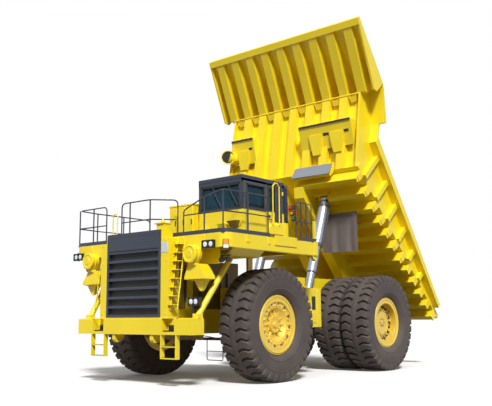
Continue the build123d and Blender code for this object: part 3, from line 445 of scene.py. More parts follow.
def dust_film(wires, given):
    """Dust that lies on upward faces and low down, broken up by noise."""
    place = wires.add("ShaderNodeTexCoord").outputs
    broad = wires.add("ShaderNodeTexNoise", {"Vector": place["Object"], "Scale": given["Scale"],
                                             "Detail": 5.0})
    upward = wires.add("ShaderNodeSeparateXYZ", {0: place["Normal"]}).outputs["Z"]
    height = wires.add("ShaderNodeSeparateXYZ", {0: place["Object"]}).outputs["Z"]
    low = wires.add("ShaderNodeMapRange", {"Value": height, "From Min": 2.6, "From Max": 0.2}).outputs[0]
    lying = wires.maths("MULTIPLY", wires.maths("MAXIMUM", upward, 0.0), 0.45)
    amount = wires.maths("ADD", wires.maths("ADD", lying, wires.maths("MULTIPLY", low, 0.5)), 0.18)
    patches = wires.maths("MULTIPLY", wires.maths("SUBTRACT", broad.outputs[0], 0.3), 2.2, clamp=True)
    mask = wires.maths("MULTIPLY", wires.maths("MULTIPLY", amount, patches), given["Amount"], clamp=True)
    return {"Color": wires.tint(mask, given["Color"], given["Dust"]), "Mask": mask}


def surface_grain(wires, given):
    """Fine unevenness of a cast, painted or moulded surface."""
    place = wires.add("ShaderNodeTexCoord").outputs["Object"]
    fine = wires.add("ShaderNodeTexNoise", {"Vector": place, "Scale": given["Scale"], "Detail": 4.0})
    relief = wires.add("ShaderNodeBump", {
        "Strength": given["Strength"], "Distance": given["Depth"], "Height": fine.outputs[0]})
    return {"Value": fine.outputs[0], "Normal": relief.outputs[0]}


def edge_highlight(wires, given):
    """Mask that is 1 along sharp edges, where a painted highlight lightens them."""
    rounded = wires.add("ShaderNodeBevel", {"Radius": given["Width"]}, samples=4)
    true = wires.add("ShaderNodeNewGeometry").outputs["Normal"]
    agree = wires.add("ShaderNodeVectorMath", {0: rounded.outputs[0], 1: true}, operation="DOT_PRODUCT")
    mask = wires.maths("MULTIPLY", wires.maths("SUBTRACT", 1.0, agree.outputs["Value"]), 3.0, clamp=True)
    return {"Mask": mask}


def region_mask(wires, given):
    """Mask that is 1 inside a box given by its two corners."""
    place = wires.add("ShaderNodeTexCoord").outputs["Object"]
    above = wires.add("ShaderNodeVectorMath", {0: place, 1: given["Low"]}, operation="SUBTRACT").outputs[0]
    below = wires.add("ShaderNodeVectorMath", {0: given["High"], 1: place}, operation="SUBTRACT").outputs[0]
    least = wires.add("ShaderNodeVectorMath", {0: above, 1: below}, operation="MINIMUM").outputs[0]
    axes = wires.add("ShaderNodeSeparateXYZ", {0: least}).outputs
    inside = wires.maths("MINIMUM", wires.maths("MINIMUM", axes[0], axes[1]), axes[2])
    return {"Mask": wires.maths("GREATER_THAN", inside, 0.0)}


def build_groups():
    """All shader groups and geometry trees."""
    number, vector, tone = "NodeSocketFloat", "NodeSocketVector", "NodeSocketColor"
    shader_group("Dust film", [("Color", tone, (1, 1, 1, 1)), ("Dust", tone, (1, 1, 1, 1)),
                               ("Amount", number, 0.3), ("Scale", number, 1.4)],
                 [("Color", tone), ("Mask", number)], dust_film)
    shader_group("Surface grain", [("Scale", number, 60.0), ("Strength", number, 0.2),
                                   ("Depth", number, 0.01)], [("Value", number), ("Normal", vector)],
                 surface_grain)
    shader_group("Edge wear", [("Width", number, 0.02)], [("Mask", number)], edge_highlight)
    shader_group("Region mask", [("Low", vector, (0, 0, 0)), ("High", vector, (1, 1, 1))],
                 [("Mask", number)], region_mask)
    count = ("Count", "NodeSocketInt", 8)
    grown_tree("ring_of_parts", [count, ("Centre", vector, (0, 0, 0))], ring_of_parts)
    grown_tree("row_of_parts", [count, ("Step", vector, (0, 0, 1))], row_of_parts)
    grown_tree("bolt_heads", [("Corners", "NodeSocketInt", 6), ("Radius", number, 0.02),
                              ("Height", number, 0.03)], bolt_heads)


def opaque(tone):
    """Colour with full alpha."""
    return (*tone, 1.0)


def new_material(name):
    """Material with its shader and the wires of its tree."""
    material = bpy.data.materials.new(name)
    material.use_nodes = True
    wires = Wires(material.node_tree)
    return material, wires, wires.tree.nodes["Principled BSDF"]


def coated(name, tone, rough=0.36, dust=0.3, second=None, region=None, edge=0.0, grain=(70.0, 0.15),
           metal=0.0, coat=0.0, top=None, shade=0.1):
    """Painted, moulded or bare finish with a painted highlight along its edges, dust and grain.

    It may have a second colour inside a region, given by two corners, or one on faces that look up.
    """
    material, wires, shader = new_material(name)
    base = opaque(tone)
    if second is not None:
        inside = wires.group("Region mask", {"Low": region[0], "High": region[1]})["Mask"]
        base = wires.tint(inside, base, opaque(second))
    if top is not None:
        normal = wires.add("ShaderNodeTexCoord").outputs["Normal"]
        upward = wires.add("ShaderNodeSeparateXYZ", {0: normal}).outputs["Z"]
        base = wires.tint(wires.maths("GREATER_THAN", upward, 0.9), base, opaque(top))
    broad = wires.add("ShaderNodeTexNoise", {
        "Vector": wires.add("ShaderNodeTexCoord").outputs["Object"], "Scale": 1.1, "Detail": 3.0})
    drift = wires.maths("ADD", wires.maths("MULTIPLY", broad.outputs[0], shade), 1.0 - shade * 0.6)
    grey = wires.add("ShaderNodeCombineColor", {0: drift, 1: drift, 2: drift}).outputs[0]
    base = wires.tint(1.0, base, grey, "MULTIPLY")
    if edge:
        # sharp edges are lightened towards white: a painted highlight
        edge_lit = wires.maths("MULTIPLY", wires.group("Edge wear", {"Width": 0.02})["Mask"], edge)
        base = wires.tint(edge_lit, base, opaque(mix(tone, (1, 1, 1), 0.25)))
    settled = opaque(bpy.context.scene.truck_colours.dust)
    film = wires.group("Dust film", {"Color": base, "Dust": settled, "Amount": dust})
    fine = wires.group("Surface grain", {"Scale": grain[0], "Strength": grain[1]})
    dusty = wires.maths("MULTIPLY", film["Mask"], 0.5)
    uneven = wires.maths("ADD", wires.maths("MULTIPLY", fine["Value"], 0.1), rough - 0.05)
    links = {"Base Color": film["Color"], "Normal": fine["Normal"],
             "Roughness": wires.maths("ADD", dusty, uneven, clamp=True)}
    for socket, value in links.items():
        wires.tree.links.new(value, shader.inputs[socket])
    shader.inputs["Metallic"].default_value = metal
    shader.inputs["Coat Weight"].default_value = coat
    shader.inputs["Coat Roughness"].default_value = 0.15
    return material


def glazed(name, tone, rough, transmission, dust, glow=0.0):
    """Glass or a lamp's lens."""
    material, wires, shader = new_material(name)
    settled = opaque(bpy.context.scene.truck_colours.dust)
    film = wires.group("Dust film", {"Color": opaque(tone), "Dust": settled, "Amount": dust, "Scale": 3.0})
    roughness = wires.maths("ADD", wires.maths("MULTIPLY", film["Mask"], 0.4), rough)
    wires.tree.links.new(film["Color"], shader.inputs["Base Color"])
    wires.tree.links.new(roughness, shader.inputs["Roughness"])
    shader.inputs["Transmission Weight"].default_value = transmission
    shader.inputs["IOR"].default_value = 1.1 if transmission else 1.45
    if glow:
        shader.inputs["Emission Color"].default_value = opaque(tone)
        shader.inputs["Emission Strength"].default_value = glow
    return material


# ---- which finish each CAD node takes -------------------------------------------------------
NODE_FINISHES = {
    "yellow_paint": (
        "air_cleaners", "bed_beams", "bed_canopy", "bed_cross_members", "bed_floor", "bed_front_ribs",
        "bed_front_wall", "bed_left_side", "bed_right_side", "bumper_steps", "cab_floor", "deck_cabinet",
        "deck_supports", "fender_struts", "front_bumper", "front_ladders", "head_lamps", "main_frame",
        "radiator_shell", "side_tanks"),
    "deck_paint": ("left_deck", "right_deck"),
    "cab_paint": ("cab_front_wall", "cab_inner_wall", "cab_outer_wall", "cab_rear_wall"),
    "door_paint": ("cab_door",),
    "roof_paint": ("cab_roof", "grille", "handrails"),
    "rim_paint": ("front_left_wheel", "front_right_wheel", "rear_left_wheel", "rear_right_wheel"),
    "tyre_rubber": ("front_left_tyre", "front_right_tyre", "rear_left_outer_tyre", "rear_left_inner_tyre",
                    "rear_right_outer_tyre", "rear_right_inner_tyre"),
    # the engine block takes dark olive: painted shade in place of its yellow paint under the deck
    "olive_paint": ("engine_block",),
    "dark_steel": ("drive_line", "front_struts", "left_knuckle", "right_knuckle", "rear_axle", "tie_rod",
                   "cab_interior"),
    "cylinder_steel": ("hoist_left_housing", "hoist_right_housing", "hoist_left_stage", "hoist_right_stage",
                       "hoist_left_rod", "hoist_right_rod"),
    "core_fins": ("radiator_core",),
    "flap_rubber": ("mud_flaps",),
    "window_glass": ("cab_glass", "door_glass"),
}


class TRUCK_OT_finishes(bpy.types.Operator):
    """Build every finish and paint the frame's own nodes with them"""

    bl_idname = "truck.finishes"
    bl_label = "Finishes"

    def execute(self, context):
        build_groups()
        tones = context.scene.truck_colours
        yellow, navy, steel = tuple(tones.yellow), tuple(tones.navy), tuple(tones.steel)
        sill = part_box("cab_glass")[0].z - 0.03
        door_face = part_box("cab_outer_wall")[1].x + SEAM_LAP
        low, high = (-EVERYWHERE, -EVERYWHERE, sill), (EVERYWHERE,) * 3
        coated("yellow_paint", yellow, edge=0.25, coat=0.1, dust=0.16)
        coated("deck_paint", yellow, edge=0.25, coat=0.1, dust=0.16, top=(0.10, 0.10, 0.11))
        coated("cab_paint", yellow, edge=0.25, coat=0.15, dust=0.16, second=navy, region=(low, high))
        coated("door_paint", yellow, edge=0.25, coat=0.15, dust=0.16, second=navy,
               region=(low, (door_face, *high[1:])))
        coated("roof_paint", navy, rough=0.45, coat=0.1, dust=0.06)
        # dark olive: yellow paint darkened into painted shade, for yellow parts that sit in shade under and
        # in front of the truck
        coated("olive_paint", (0.22, 0.15, 0.015), rough=0.5, dust=0.3)
        coated("rim_paint", tuple(tones.rim), rough=0.34, coat=0.35, metal=0.25, edge=0.3, dust=0.35)
        coated("tyre_rubber", tuple(tones.rubber), rough=0.72, dust=0.22, grain=(45.0, 0.35), shade=0.25)
        coated("flap_rubber", tuple(tones.flap), rough=0.7, dust=0.4, grain=(30.0, 0.3), shade=0.3)
        # dark steel of the running gear, also used as painted shade in the gaps beside the wheel clamps
        coated("dark_steel", steel, rough=0.5, metal=0.4, dust=0.5)
        # near-black finish of rubber parts, also used as painted shade inside the duct's mouth, along the
        # deflectors' tops and in the openings between the chutes
        coated("black_rubber", (0.008, 0.008, 0.009), rough=0.6, dust=0.06)
        coated("cylinder_steel", (0.32, 0.36, 0.43), rough=0.30, metal=0.85, dust=0.25, grain=(90.0, 0.05))
        coated("bolt_steel", (0.32, 0.27, 0.16), rough=0.42, metal=0.6, dust=0.3)
        coated("reflector", (0.82, 0.84, 0.86), rough=0.15, metal=0.9, dust=0.1)
        coated("seat_cloth", (0.36, 0.25, 0.13), rough=0.85, dust=0.1, grain=(260.0, 0.5), shade=0.2)
        coated("blank_plate", (0.62, 0.64, 0.66), rough=0.3, metal=0.3, dust=0.2)
        coated("core_fins", (0.012, 0.013, 0.016), rough=0.6, dust=0.15, grain=(120.0, 0.8))
        glazed("window_glass", (0.07, 0.17, 0.23), 0.03, 0.75, 0.05)
        glazed("lamp_lens", (0.72, 0.76, 0.80), 0.08, 0.0, 0.05, glow=0.1)
        glazed("amber_lens", (0.9, 0.28, 0.02), 0.15, 0.0, 0.05, glow=0.15)
        glazed("red_lens", (0.7, 0.02, 0.01), 0.15, 0.0, 0.05, glow=0.15)
        glazed("green_lens", (0.01, 0.25, 0.10), 0.15, 0.0, 0.05, glow=0.1)
        for finish, nodes in NODE_FINISHES.items():
            for node in nodes:
                data = frame["nodes"][node].data
                data.materials.clear()
                data.materials.append(bpy.data.materials[finish])
        return {"FINISHED"}


# ---- tyres and wheels ------------------------------------------------------------------------
TYRE_HALF_PROFILE = ((0.300, 0.655), (0.300, 0.790), (0.345, 0.800), (0.392, 0.845), (0.426, 0.905),
                     (0.436, 0.925), (0.446, 0.930), (0.446, 0.950), (0.442, 0.958), (0.452, 1.010),
                     (0.459, 1.080), (0.461, 1.150), (0.459, 1.195), (0.4645, 1.200), (0.4645, 1.222),
                     (0.457, 1.230), (0.452, 1.280), (0.440, 1.340), (0.424, 1.380), (0.360, 1.397),
                     (0.200, 1.404), (0.112, 1.405), (0.092, 1.466), (0.078, 1.473))
# Each station of a lug: top and bottom as (outward, radius), sideways shift, share of the full width.
LUG_STATIONS = (
    ((0.070, 1.473), (0.070, 1.400), 0.052, 0.80), ((0.120, 1.476), (0.120, 1.398), 0.040, 1.0),
    ((0.190, 1.477), (0.190, 1.397), 0.000, 1.0), ((0.260, 1.476), (0.260, 1.396), -0.030, 1.0),
    ((0.330, 1.472), (0.330, 1.392), -0.026, 1.0), ((0.395, 1.462), (0.395, 1.382), 0.006, 1.0),
    ((0.440, 1.442), (0.424, 1.362), 0.022, 1.0), ((0.4635, 1.395), (0.430, 1.345), 0.026, 0.95),
    ((0.4635, 1.320), (0.440, 1.300), 0.026, 0.88), ((0.458, 1.262), (0.444, 1.258), 0.026, 0.70))


def tread_lug(solids, side, phase, half_width, outer_radius):
    """One lug of the tread, its edges chamfered, wrapped over the shoulder."""
    rings = []
    for top, bottom, shift, share in LUG_STATIONS:
        ring = []
        for (out, radius), spread in (
                (bottom, -half_width * share - 0.012), (mix(top, bottom, 0.22), -half_width * share),
                (top, -half_width * share + 0.014), (top, half_width * share - 0.014),
                (mix(top, bottom, 0.22), half_width * share), (bottom, half_width * share + 0.012)):
            turn = phase + (shift + spread) / outer_radius
            ring.append(Vector((side * out, radius * math.cos(turn), radius * math.sin(turn))))
        rings.append(ring)
    solids.loft(rings)


class TRUCK_OT_tyres(bpy.types.Operator):
    """Tyres with cut tread and ringed side walls, one piece for each wheel body"""

    bl_idname = "truck.tyres"
    bl_label = "Tyres"

    def execute(self, context):
        sizes = context.scene.truck_sizes
        stagger = 0.4  # share of a lug's pitch between the twin tyres
        profile = TYRE_HALF_PROFILE + tuple((-out, radius) for out, radius in reversed(TYRE_HALF_PROFILE))
        for label, side in SIDES:
            twins = (f"rear_{label}_outer_tyre", f"rear_{label}_inner_tyre")
            for body, nodes in ((f"front_{label}_wheel", (f"front_{label}_tyre",)),
                                (f"rear_{label}_wheels", twins)):
                tyres = Solids()
                for index, node in enumerate(nodes):
                    centre = middle(node)
                    outer_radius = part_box(node)[1].z - centre.z
                    pitch = TAU * outer_radius / sizes.lug_count
                    half_width = (pitch - sizes.groove) / 2
                    tyres.wheel_ring(centre, side, profile)
                    lugs = Solids()
                    start = index * stagger * pitch / outer_radius
                    tread_lug(lugs, side, start, half_width, outer_radius)
                    tread_lug(lugs, -side, start + pitch / outer_radius / 2, half_width, outer_radius)
                    add_ring(tyres, lugs, centre, sizes.lug_count, "tyre_rubber")
                tyres.piece(f"{body}_tyres", "tyre_rubber", body, "tyre", replaces=nodes)
        return {"FINISHED"}


def nut_part(radius, height, distance, outward, side):
    """One nut on its washer, ready to be repeated round the axis."""
    nut = Solids()
    start = Vector((side * outward, 0, distance))
    nut.turned(start, (side, 0, 0), [(0, radius * 1.35), (height * 0.3, radius * 1.35)], 12)
    hexagon = [(height * 0.3, radius), (height, radius), (height * 1.1, radius * 0.8)]
    nut.turned(start, (side, 0, 0), hexagon, 6)
    nut.turned(start, (side, 0, 0), [(height, radius * 0.5), (height * 1.6, radius * 0.5)], 8)
    return nut


CLAMPS = 12  # clamps, slots and gussets round a rim


def web_part(side, outline, start, end):
    """Small block on a wheel's web from an outline of (outward, distance) points."""
    block = Solids()
    block.prism(1, [(side * out, distance) for out, distance in outline], start, end)
    return block


class TRUCK_OT_wheels(bpy.types.Operator):
    """Nuts, rim clamps, lock rings and hub covers on the wheels"""

    bl_idname = "truck.wheels"
    bl_label = "Wheel fittings"

    def execute(self, context):
        nut = context.scene.truck_sizes.wheel_nut
        for label, side in SIDES:
            # each ring of nuts: distance from the axis, outward place, count, radius
            for rear, body, node, web, rings in (
                    (False, f"front_{label}_wheel", f"front_{label}_tyre", 0.285,
                     ((0.505, 0.285, 24, nut * 0.8), (0.290, 0.180, 16, 0.016), (0.17, 0.235, 12, 0.015))),
                    (True, f"rear_{label}_wheels", f"rear_{label}_outer_tyre", 0.125,
                     ((0.500, 0.125, 20, nut * 1.15), (0.375, 0.165, 20, 0.012), (0.12, 0.165, 8, 0.014)))):
                centre = middle(node)
                fittings = Solids()
                # lock ring in the rim's gutter, bead of the web, edge of the hub's cap
                fittings.wheel_ring(centre, side, [
                    (0.315, 0.700), (0.345, 0.705), (0.350, 0.735), (0.330, 0.760), (0.315, 0.760)])
                fittings.wheel_ring(centre, side, [
                    (web - 0.01, 0.588), (web + 0.022, 0.592), (web + 0.018, 0.612), (web - 0.01, 0.616)])
                if rear:
                    fittings.wheel_ring(centre, side, [
                        (0.155, 0.345), (0.172, 0.348), (0.172, 0.352), (0.155, 0.356)], 64)
                    fittings.turned(centre + Vector((side * 0.165, 0, 0)), (side, 0, 0), [
                        (-0.01, 0.075), (0.012, 0.075), (0.02, 0.06)], 24)
                else:
                    fittings.wheel_ring(centre, side, [
                        (0.225, 0.185), (0.250, 0.190), (0.250, 0.205), (0.225, 0.212)], 48)
                    fittings.turned(centre + Vector((side * 0.235, 0, 0)), (side, 0, 0), [
                        (-0.01, 0.085), (0.03, 0.085), (0.045, 0.065)], 24)
                    gusset = web_part(side, ((0.170, 0.225), (0.215, 0.225), (0.225, 0.385), (0.200, 0.385)),
                                      -0.012, 0.012)
                    add_ring(fittings, gusset, centre, CLAMPS, "rim_paint")
                # wedge clamps that hold the rim on the web
                clamp = web_part(side, ((web - 0.005, 0.548), (web + 0.026, 0.548), (web + 0.034, 0.590),
                                        (web - 0.005, 0.590)), -0.030, 0.030)
                add_ring(fittings, clamp, centre, CLAMPS, "rim_paint")
                # dark patches beside the clamps: painted shade in the gaps there
                fittings.finish = 1
                slot = web_part(side, ((web - 0.004, 0.522), (web + 0.006, 0.522), (web + 0.006, 0.582),
                                       (web - 0.004, 0.582)), 0.045, 0.115)
                add_ring(fittings, slot, centre, CLAMPS, "dark_steel")
                tone = ("rim_paint", "dark_steel")[rear]
                fittings.finish = int(rear)
                for distance, outward, count, radius in rings:
                    nuts = nut_part(radius, radius * 1.2, distance, outward, side)
                    add_ring(fittings, nuts, centre, count, tone)
                # tyre valve
                fittings.finish = 0
                fittings.tube([centre + Vector((side * (web + out), 0.10, height))
                               for out, height in ((-0.01, 0.615), (0.03, 0.625), (0.05, 0.600))], 0.010, 8)
                fittings.piece(f"{body}_fittings", ("rim_paint", "dark_steel"), body, "rim")
        return {"FINISHED"}


# ---- nose ----------------------------------------------------------------------------------------
def lamp(solids, place, facing, radius, depth):
    """Round lamp: bezel, reflector bowl and domed lens, in finishes 0, 1 and 2."""
    solids.finish = 0
    bezel = radius * 1.12
    solids.turned(place, facing, [(-0.01, bezel), (depth * 0.6, bezel), (depth * 0.8, radius)], 24)
    solids.finish = 1
    solids.turned(place, facing, [(depth * 0.75, radius * 0.97), (depth * 0.85, radius * 0.97)], 24)
    solids.finish = 2
    dome = ((0.86, 0.9), (1.1, 0.8), (1.3, 0.55), (1.4, 0.2))
    solids.turned(place, facing, [(depth * out, radius * wide) for out, wide in dome], 24)
    solids.finish = 0


class TRUCK_OT_grille(bpy.types.Operator):
    """Radiator grille: frame, bare band, sloped bars and mesh"""

    bl_idname = "truck.grille"
    bl_label = "Grille"

    def execute(self, context):
        slots = context.scene.truck_sizes.grille_slots
        (left, front, bottom), (right, rear, top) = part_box("grille")
        band, foot, post = 0.40, 0.06, 0.075
        pitch = (top - band - bottom - foot) / slots
        grille = Solids()
        grille.box((left, right), (front, rear), (top - band, top))
        grille.box((left, right), (front, rear), (bottom, bottom + foot))
        for x in (left, right - post):
            grille.box((x, x + post), (front, rear), (bottom + foot, top - band))
        # thin raised border on the bare band
        for z in (top - 0.035, top - band + 0.02):
            grille.box((left + 0.03, right - 0.03), (front - 0.006, front + 0.01), (z, z + 0.015))
        bar = Solids()
        low = bottom + foot + pitch - 0.07
        bar.prism(0, [(front + 0.004, low), (front + 0.004, low + 0.05), (front + 0.02, low + 0.07),
                      (rear, low + 0.07), (rear, low + 0.04), (front + 0.02, low)], left + 0.07, right - 0.07)
        add_row(grille, bar, (0, 0, pitch), slots, "roof_paint")
        grille.finish = 1
        # woven guard behind the bars
        wire = Solids()
        wire.box((left + 0.06, left + 0.064), (rear - 0.012, rear - 0.008),
                 (bottom + 0.03, top - band + 0.02))
        add_row(grille, wire, (GUARD_PITCH, 0, 0), int((right - left - 0.12) / GUARD_PITCH), "core_fins")
        wire = Solids()
        wire.box((left + 0.05, right - 0.05), (rear - 0.008, rear - 0.004), (bottom + 0.05, bottom + 0.054))
        add_row(grille, wire, (0, 0, GUARD_PITCH), int((top - band - bottom - foot) / GUARD_PITCH),
                "core_fins")
        grille.finish = 0
        corners = [((x, front, z), AHEAD) for x in (left + 0.04, right - 0.04)
                   for z in (mix(bottom + 0.05, top - 0.06, share / 6) for share in range(7))]
        add_bolts(grille, corners, "roof_paint", height=0.01, radius=0.016)
        grille.piece("grille_bars", ("roof_paint", "core_fins"), "chassis", "navy", replaces=("grille",),
                     bevel=0.004)
        return {"FINISHED"}


class TRUCK_OT_nose(bpy.types.Operator):
    """Step bars, treads, belly tray, caps, plate and bolts on the nose"""

    bl_idname = "truck.nose"
    bl_label = "Nose trim"

    def execute(self, context):
        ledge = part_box("front_bumper")[1].z
        shell_low, shell_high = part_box("radiator_shell")
        front, treads = fore(2.829), 8
        pocket = (1.10, 1.56)
        trim = Solids()
        dark = Solids()
        for _, side in SIDES:
            # bars on both sides of the step pocket, joined over it
            for x in pocket:
                trim.tube([(side * x, front + 0.014, 1.30), (side * x, front + 0.014, 1.62),
                           (side * x, front + 0.07, 1.70)], 0.009, 8)
            trim.tube([(side * x, front + 0.016, 1.665) for x in pocket], 0.010, 8)
            # toothed tread in the pocket, its dark back, treads of the hanging steps
            dark.box((side * 1.13, side * 1.53), (front + 0.01, front + 0.21), (1.342, 1.354))
            dark.box((side * 1.16, side * 1.50), (front + 0.200, front + 0.216), (1.354, 1.50))
            tooth = Solids()
            tooth.box((side * 1.15, side * 1.17), (front + 0.02, front + 0.20), (1.354, 1.372))
            add_row(dark, tooth, (side * 0.045, 0, 0), 8, "black_rubber")
            for z in (0.714, 0.994):
                dark.box((side * 1.10, side * 1.58), (front + 0.02, front + 0.13), (z - 0.002, z + 0.006))
            # treads on the ladder: plate in a loop of bar, held by the shell's side
            for index in range(treads):
                y, z = mix((fore(2.75), 1.88), (fore(2.50), 3.60), (index + 0.5) / treads)
                dark.box((side * 1.302, side * 1.50), (y - 0.07, y + 0.10), (z - 0.006, z + 0.004))
                trim.bent([(side * 1.300, y + 0.10, z), (side * 1.300, y - 0.080, z),
                           (side * 1.52, y - 0.080, z), (side * 1.52, y + 0.10, z)], 0.011, 0.04, 8)
            # stiffener along the bumper's top
            trim.prism(0, [(front + 0.02, ledge - 0.001), (front + 0.06, ledge + 0.02),
                           (front + 0.30, ledge + 0.02), (front + 0.34, ledge - 0.001)],
                       side * 1.66, side * 2.14)
        bolts = [((side * 1.22, shell_low.y, z), AHEAD) for _, side in SIDES
                 for z in (1.78, 3.10, 3.58)]
        bolts += [((side * shell_high.x, fore(2.62), z), (side, 0, 0)) for _, side in SIDES
                  for z in (1.85, 2.3, 2.75, 3.2, 3.55)]
        add_bolts(trim, bolts, "yellow_paint", height=0.012)
        # scalloped tray between the rails and the thin step frame that hangs under it, both in the dark olive
        # of painted shade
        tray = Solids()
        teeth = [(-0.78 + 0.12 * n, 1.075 + 0.03 * (n % 2)) for n in range(14)]
        tray.prism(1, [(-0.78, 1.45), *teeth, (0.78, 1.45)], fore(1.00), fore(0.98))
        y, near, far = fore(0.30), 0.27, 0.86
        tray.bent([(near, y, 1.10), (near, y, 0.52), (far, y, 0.52), (far, y, 1.10)], 0.013, 0.05, 8)
        tray.tube([(near, y, 0.76), (far, y, 0.76)], 0.011, 8)
        for x, tray_x in ((near, near), (far, 0.76)):
            tray.tube([(x, y, 1.09), (tray_x, fore(0.98), 1.20)], 0.012, 8)
        tray.piece("belly_tray", "olive_paint", "chassis", "yellow", sharp=50)
        cap = Solids()
        grille_low, grille_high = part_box("grille")
        cap.box((grille_low.x, grille_high.x), (shell_low.y - 0.012, shell_low.y + 0.04),
                (grille_high.z - 0.002, shell_high.z + 0.004))
        cap.piece("grille_cap", "roof_paint", "chassis", "navy", bevel=0.003)
        # box and filler cap on the radiator's top
        top = shell_high.z
        trim.box((0.78, 1.04), (fore(2.72), fore(2.50)), (top - 0.02, top + 0.16))
        trim.box((0.72, 1.06), (fore(2.76), fore(2.46)), (top + 0.16, top + 0.19))
        trim.turned((0.90, fore(2.61), top + 0.18), UPWARD,
                    [(0, 0.06), (0.05, 0.06), (0.06, 0.045), (0.10, 0.02), (0.12, 0.02)], 16)
        trim.piece("nose_trim", "yellow_paint", "chassis", "yellow", bevel=0.003)
        dark.piece("nose_treads", "black_rubber", "chassis", "dark_steel")
        plate = Solids()
        plate.box((1.040, 1.285), (shell_low.y - 0.008, shell_low.y + 0.004), (3.28, 3.54))
        plate.box((1.052, 1.273), (shell_low.y - 0.011, shell_low.y), (3.292, 3.528))
        plate.piece("nose_plate", "blank_plate", "chassis", "navy", bevel=0.003)
        return {"FINISHED"}


class TRUCK_OT_lamps(bpy.types.Operator):
    """Head lamps, turn indicators and work lamps"""

    bl_idname = "truck.lamps"
    bl_label = "Lamps"

    def execute(self, context):
        lamps = Solids()
        # twin lamps in framed boxes: one under each deck's front and one over the bumper
        for x0, x1, z0, z1, y0, y1 in ((2.16, 2.56, 3.33, 3.53, fore(2.52), fore(2.45)),
                                       (-2.90, -2.50, 3.30, 3.50, fore(2.52), fore(2.45)),
                                       (1.81, 2.14, 1.96, 2.16, fore(2.62), fore(2.48))):
            lamps.finish = 0
            lamps.box((x0, x1), (y0 + 0.02, y1), (z0, z1))
            centre = (x0 + x1) / 2
            for across, height in (((x0, x1), (z0, z0 + 0.016)), ((x0, x1), (z1 - 0.016, z1)),
                                   ((x0, x0 + 0.018), (z0, z1)), ((x1 - 0.018, x1), (z0, z1)),
                                   ((centre - 0.01, centre + 0.01), (z0, z1))):
                lamps.box(across, (y0, y0 + 0.03), height)
            for share in (0.27, 0.73):
                lamp(lamps, (mix(x0, x1, share), y0 + 0.022, (z0 + z1) / 2), AHEAD, 0.066, 0.014)
        # bracket of the lower pair
        lamps.box((1.90, 1.96), (fore(2.56), fore(2.50)), (1.653, 1.962))
        # two dark work lamps on a bracket under each deck
        for _, side in SIDES:
            lamps.finish = 0
            lamps.box((side * 2.40, side * 2.76), (fore(2.15), fore(2.11)), (3.15, 3.18))
            for x in (2.48, 2.69):
                lamps.turned((side * x, fore(2.14), 3.065), AHEAD,
                             [(-0.09, 0.04), (-0.04, 0.062), (0.03, 0.068), (0.035, 0.055)], 20)
                lamps.box((side * x - 0.012, side * x + 0.012), (fore(2.15), fore(2.12)), (3.12, 3.16))
        lamps.piece("lamps", ("black_rubber", "reflector", "lamp_lens"), "chassis", "dark_steel",
                    replaces=("head_lamps",))
        # turn lamp on the round corner of each deck
        signals = Solids()
        for _, side in SIDES:
            facing = Vector((side * 0.71, -0.71, 0))
            across = Vector((0.71, side * 0.71, 0))
            centre = Vector((side * 2.64, fore(2.19), 0)) + facing * 0.262
            for finish, width, z0, z1, depths in ((0, 0.075, 3.30, 3.53, (-0.01, 0.03)),
                                                  (1, 0.062, 3.40, 3.52, (0.02, 0.05)),
                                                  (2, 0.062, 3.31, 3.395, (0.02, 0.05))):
                signals.finish = finish
                outline = ((-width, z0), (width, z0), (width, z1), (-width, z1))
                signals.plate(centre, facing, across, outline, depths)
        signals.piece("turn_lamps", ("black_rubber", "amber_lens", "lamp_lens"), "chassis", "dark_steel",
                      bevel=0.004)
        return {"FINISHED"}


# Stations of an air cleaner's drum: distance behind its cover, radius.
DRUM_PROFILE = (
    (0.0, 0.09), (0.012, 0.10), (0.012, 0.175), (0.0, 0.18), (0.0, 0.205), (0.012, 0.224), (0.05, 0.230),
    (0.06, 0.216), (0.13, 0.216), (0.135, 0.230), (0.165, 0.230), (0.17, 0.216), (0.249, 0.216))


class TRUCK_OT_air_cleaners(bpy.types.Operator):
    """Air cleaner drums with their hoppers and dust cups"""

    bl_idname = "truck.air_cleaners"
    bl_label = "Air cleaners"

    def execute(self, context):
        drums = Solids()
        bolts = []
        for x, z, (in_x, out_x) in ((1.905, 3.215, (1.64, 2.30)), (-2.03, 3.24, (-1.68, -2.36))):
            drums.turned((x, fore(2.70), z), (0, 1, 0), DRUM_PROFILE, 48)
            # clamp latches round the drum's cover
            for turn in (0.4, 1.6, 2.8, 4.0, 5.2):
                latch_x, latch_z = x + 0.222 * math.cos(turn), z + 0.222 * math.sin(turn)
                drums.box((latch_x - 0.012, latch_x + 0.012), (fore(2.69), fore(2.62)),
                          (latch_z - 0.012, latch_z + 0.012))
            # neck, hopper that widens downwards, pan under it that narrows to the dust cup
            drums.box((x - 0.11, x + 0.11), (fore(2.60), fore(2.46)), (2.94, z - 0.15))
            cup = mix(in_x, out_x, 0.62)
            # levels of hopper and pan: two sides as shares of the width, front, rear, height
            levels = [(mix(in_x, out_x, a), mix(in_x, out_x, b), *rest) for a, b, *rest in (
                (0.14, 0.72, 2.54, 2.22, 2.97), (0.0, 1.0, 2.58, 2.18, 2.66), (0.0, 1.0, 2.58, 2.18, 2.60),
                (0.06, 0.96, 2.55, 2.20, 2.595), (0.36, 0.88, 2.46, 2.30, 2.56))]
            levels.append((cup - 0.06, cup + 0.06, 2.42, 2.34, 2.34))
            drums.loft([[Vector((px, fore(py), pz)) for px, py in (
                (min(a, b), near), (max(a, b), near), (max(a, b), far), (min(a, b), far))]
                for a, b, near, far, pz in levels])
            drums.turned((cup, fore(2.38), 2.345), (0, 0, -1),
                         [(-0.02, 0.05), (0.02, 0.055), (0.035, 0.035)], 16)
            bolts += [((mix(in_x, out_x, share), fore(2.58), 2.63), AHEAD)
                      for share in (0.08, 0.3, 0.5, 0.7, 0.92)]
        add_bolts(drums, bolts, "yellow_paint", height=0.01, radius=0.014)
        drums.piece("air_cleaner_drums", "yellow_paint", "chassis", "yellow", replaces=("air_cleaners",))
        return {"FINISHED"}


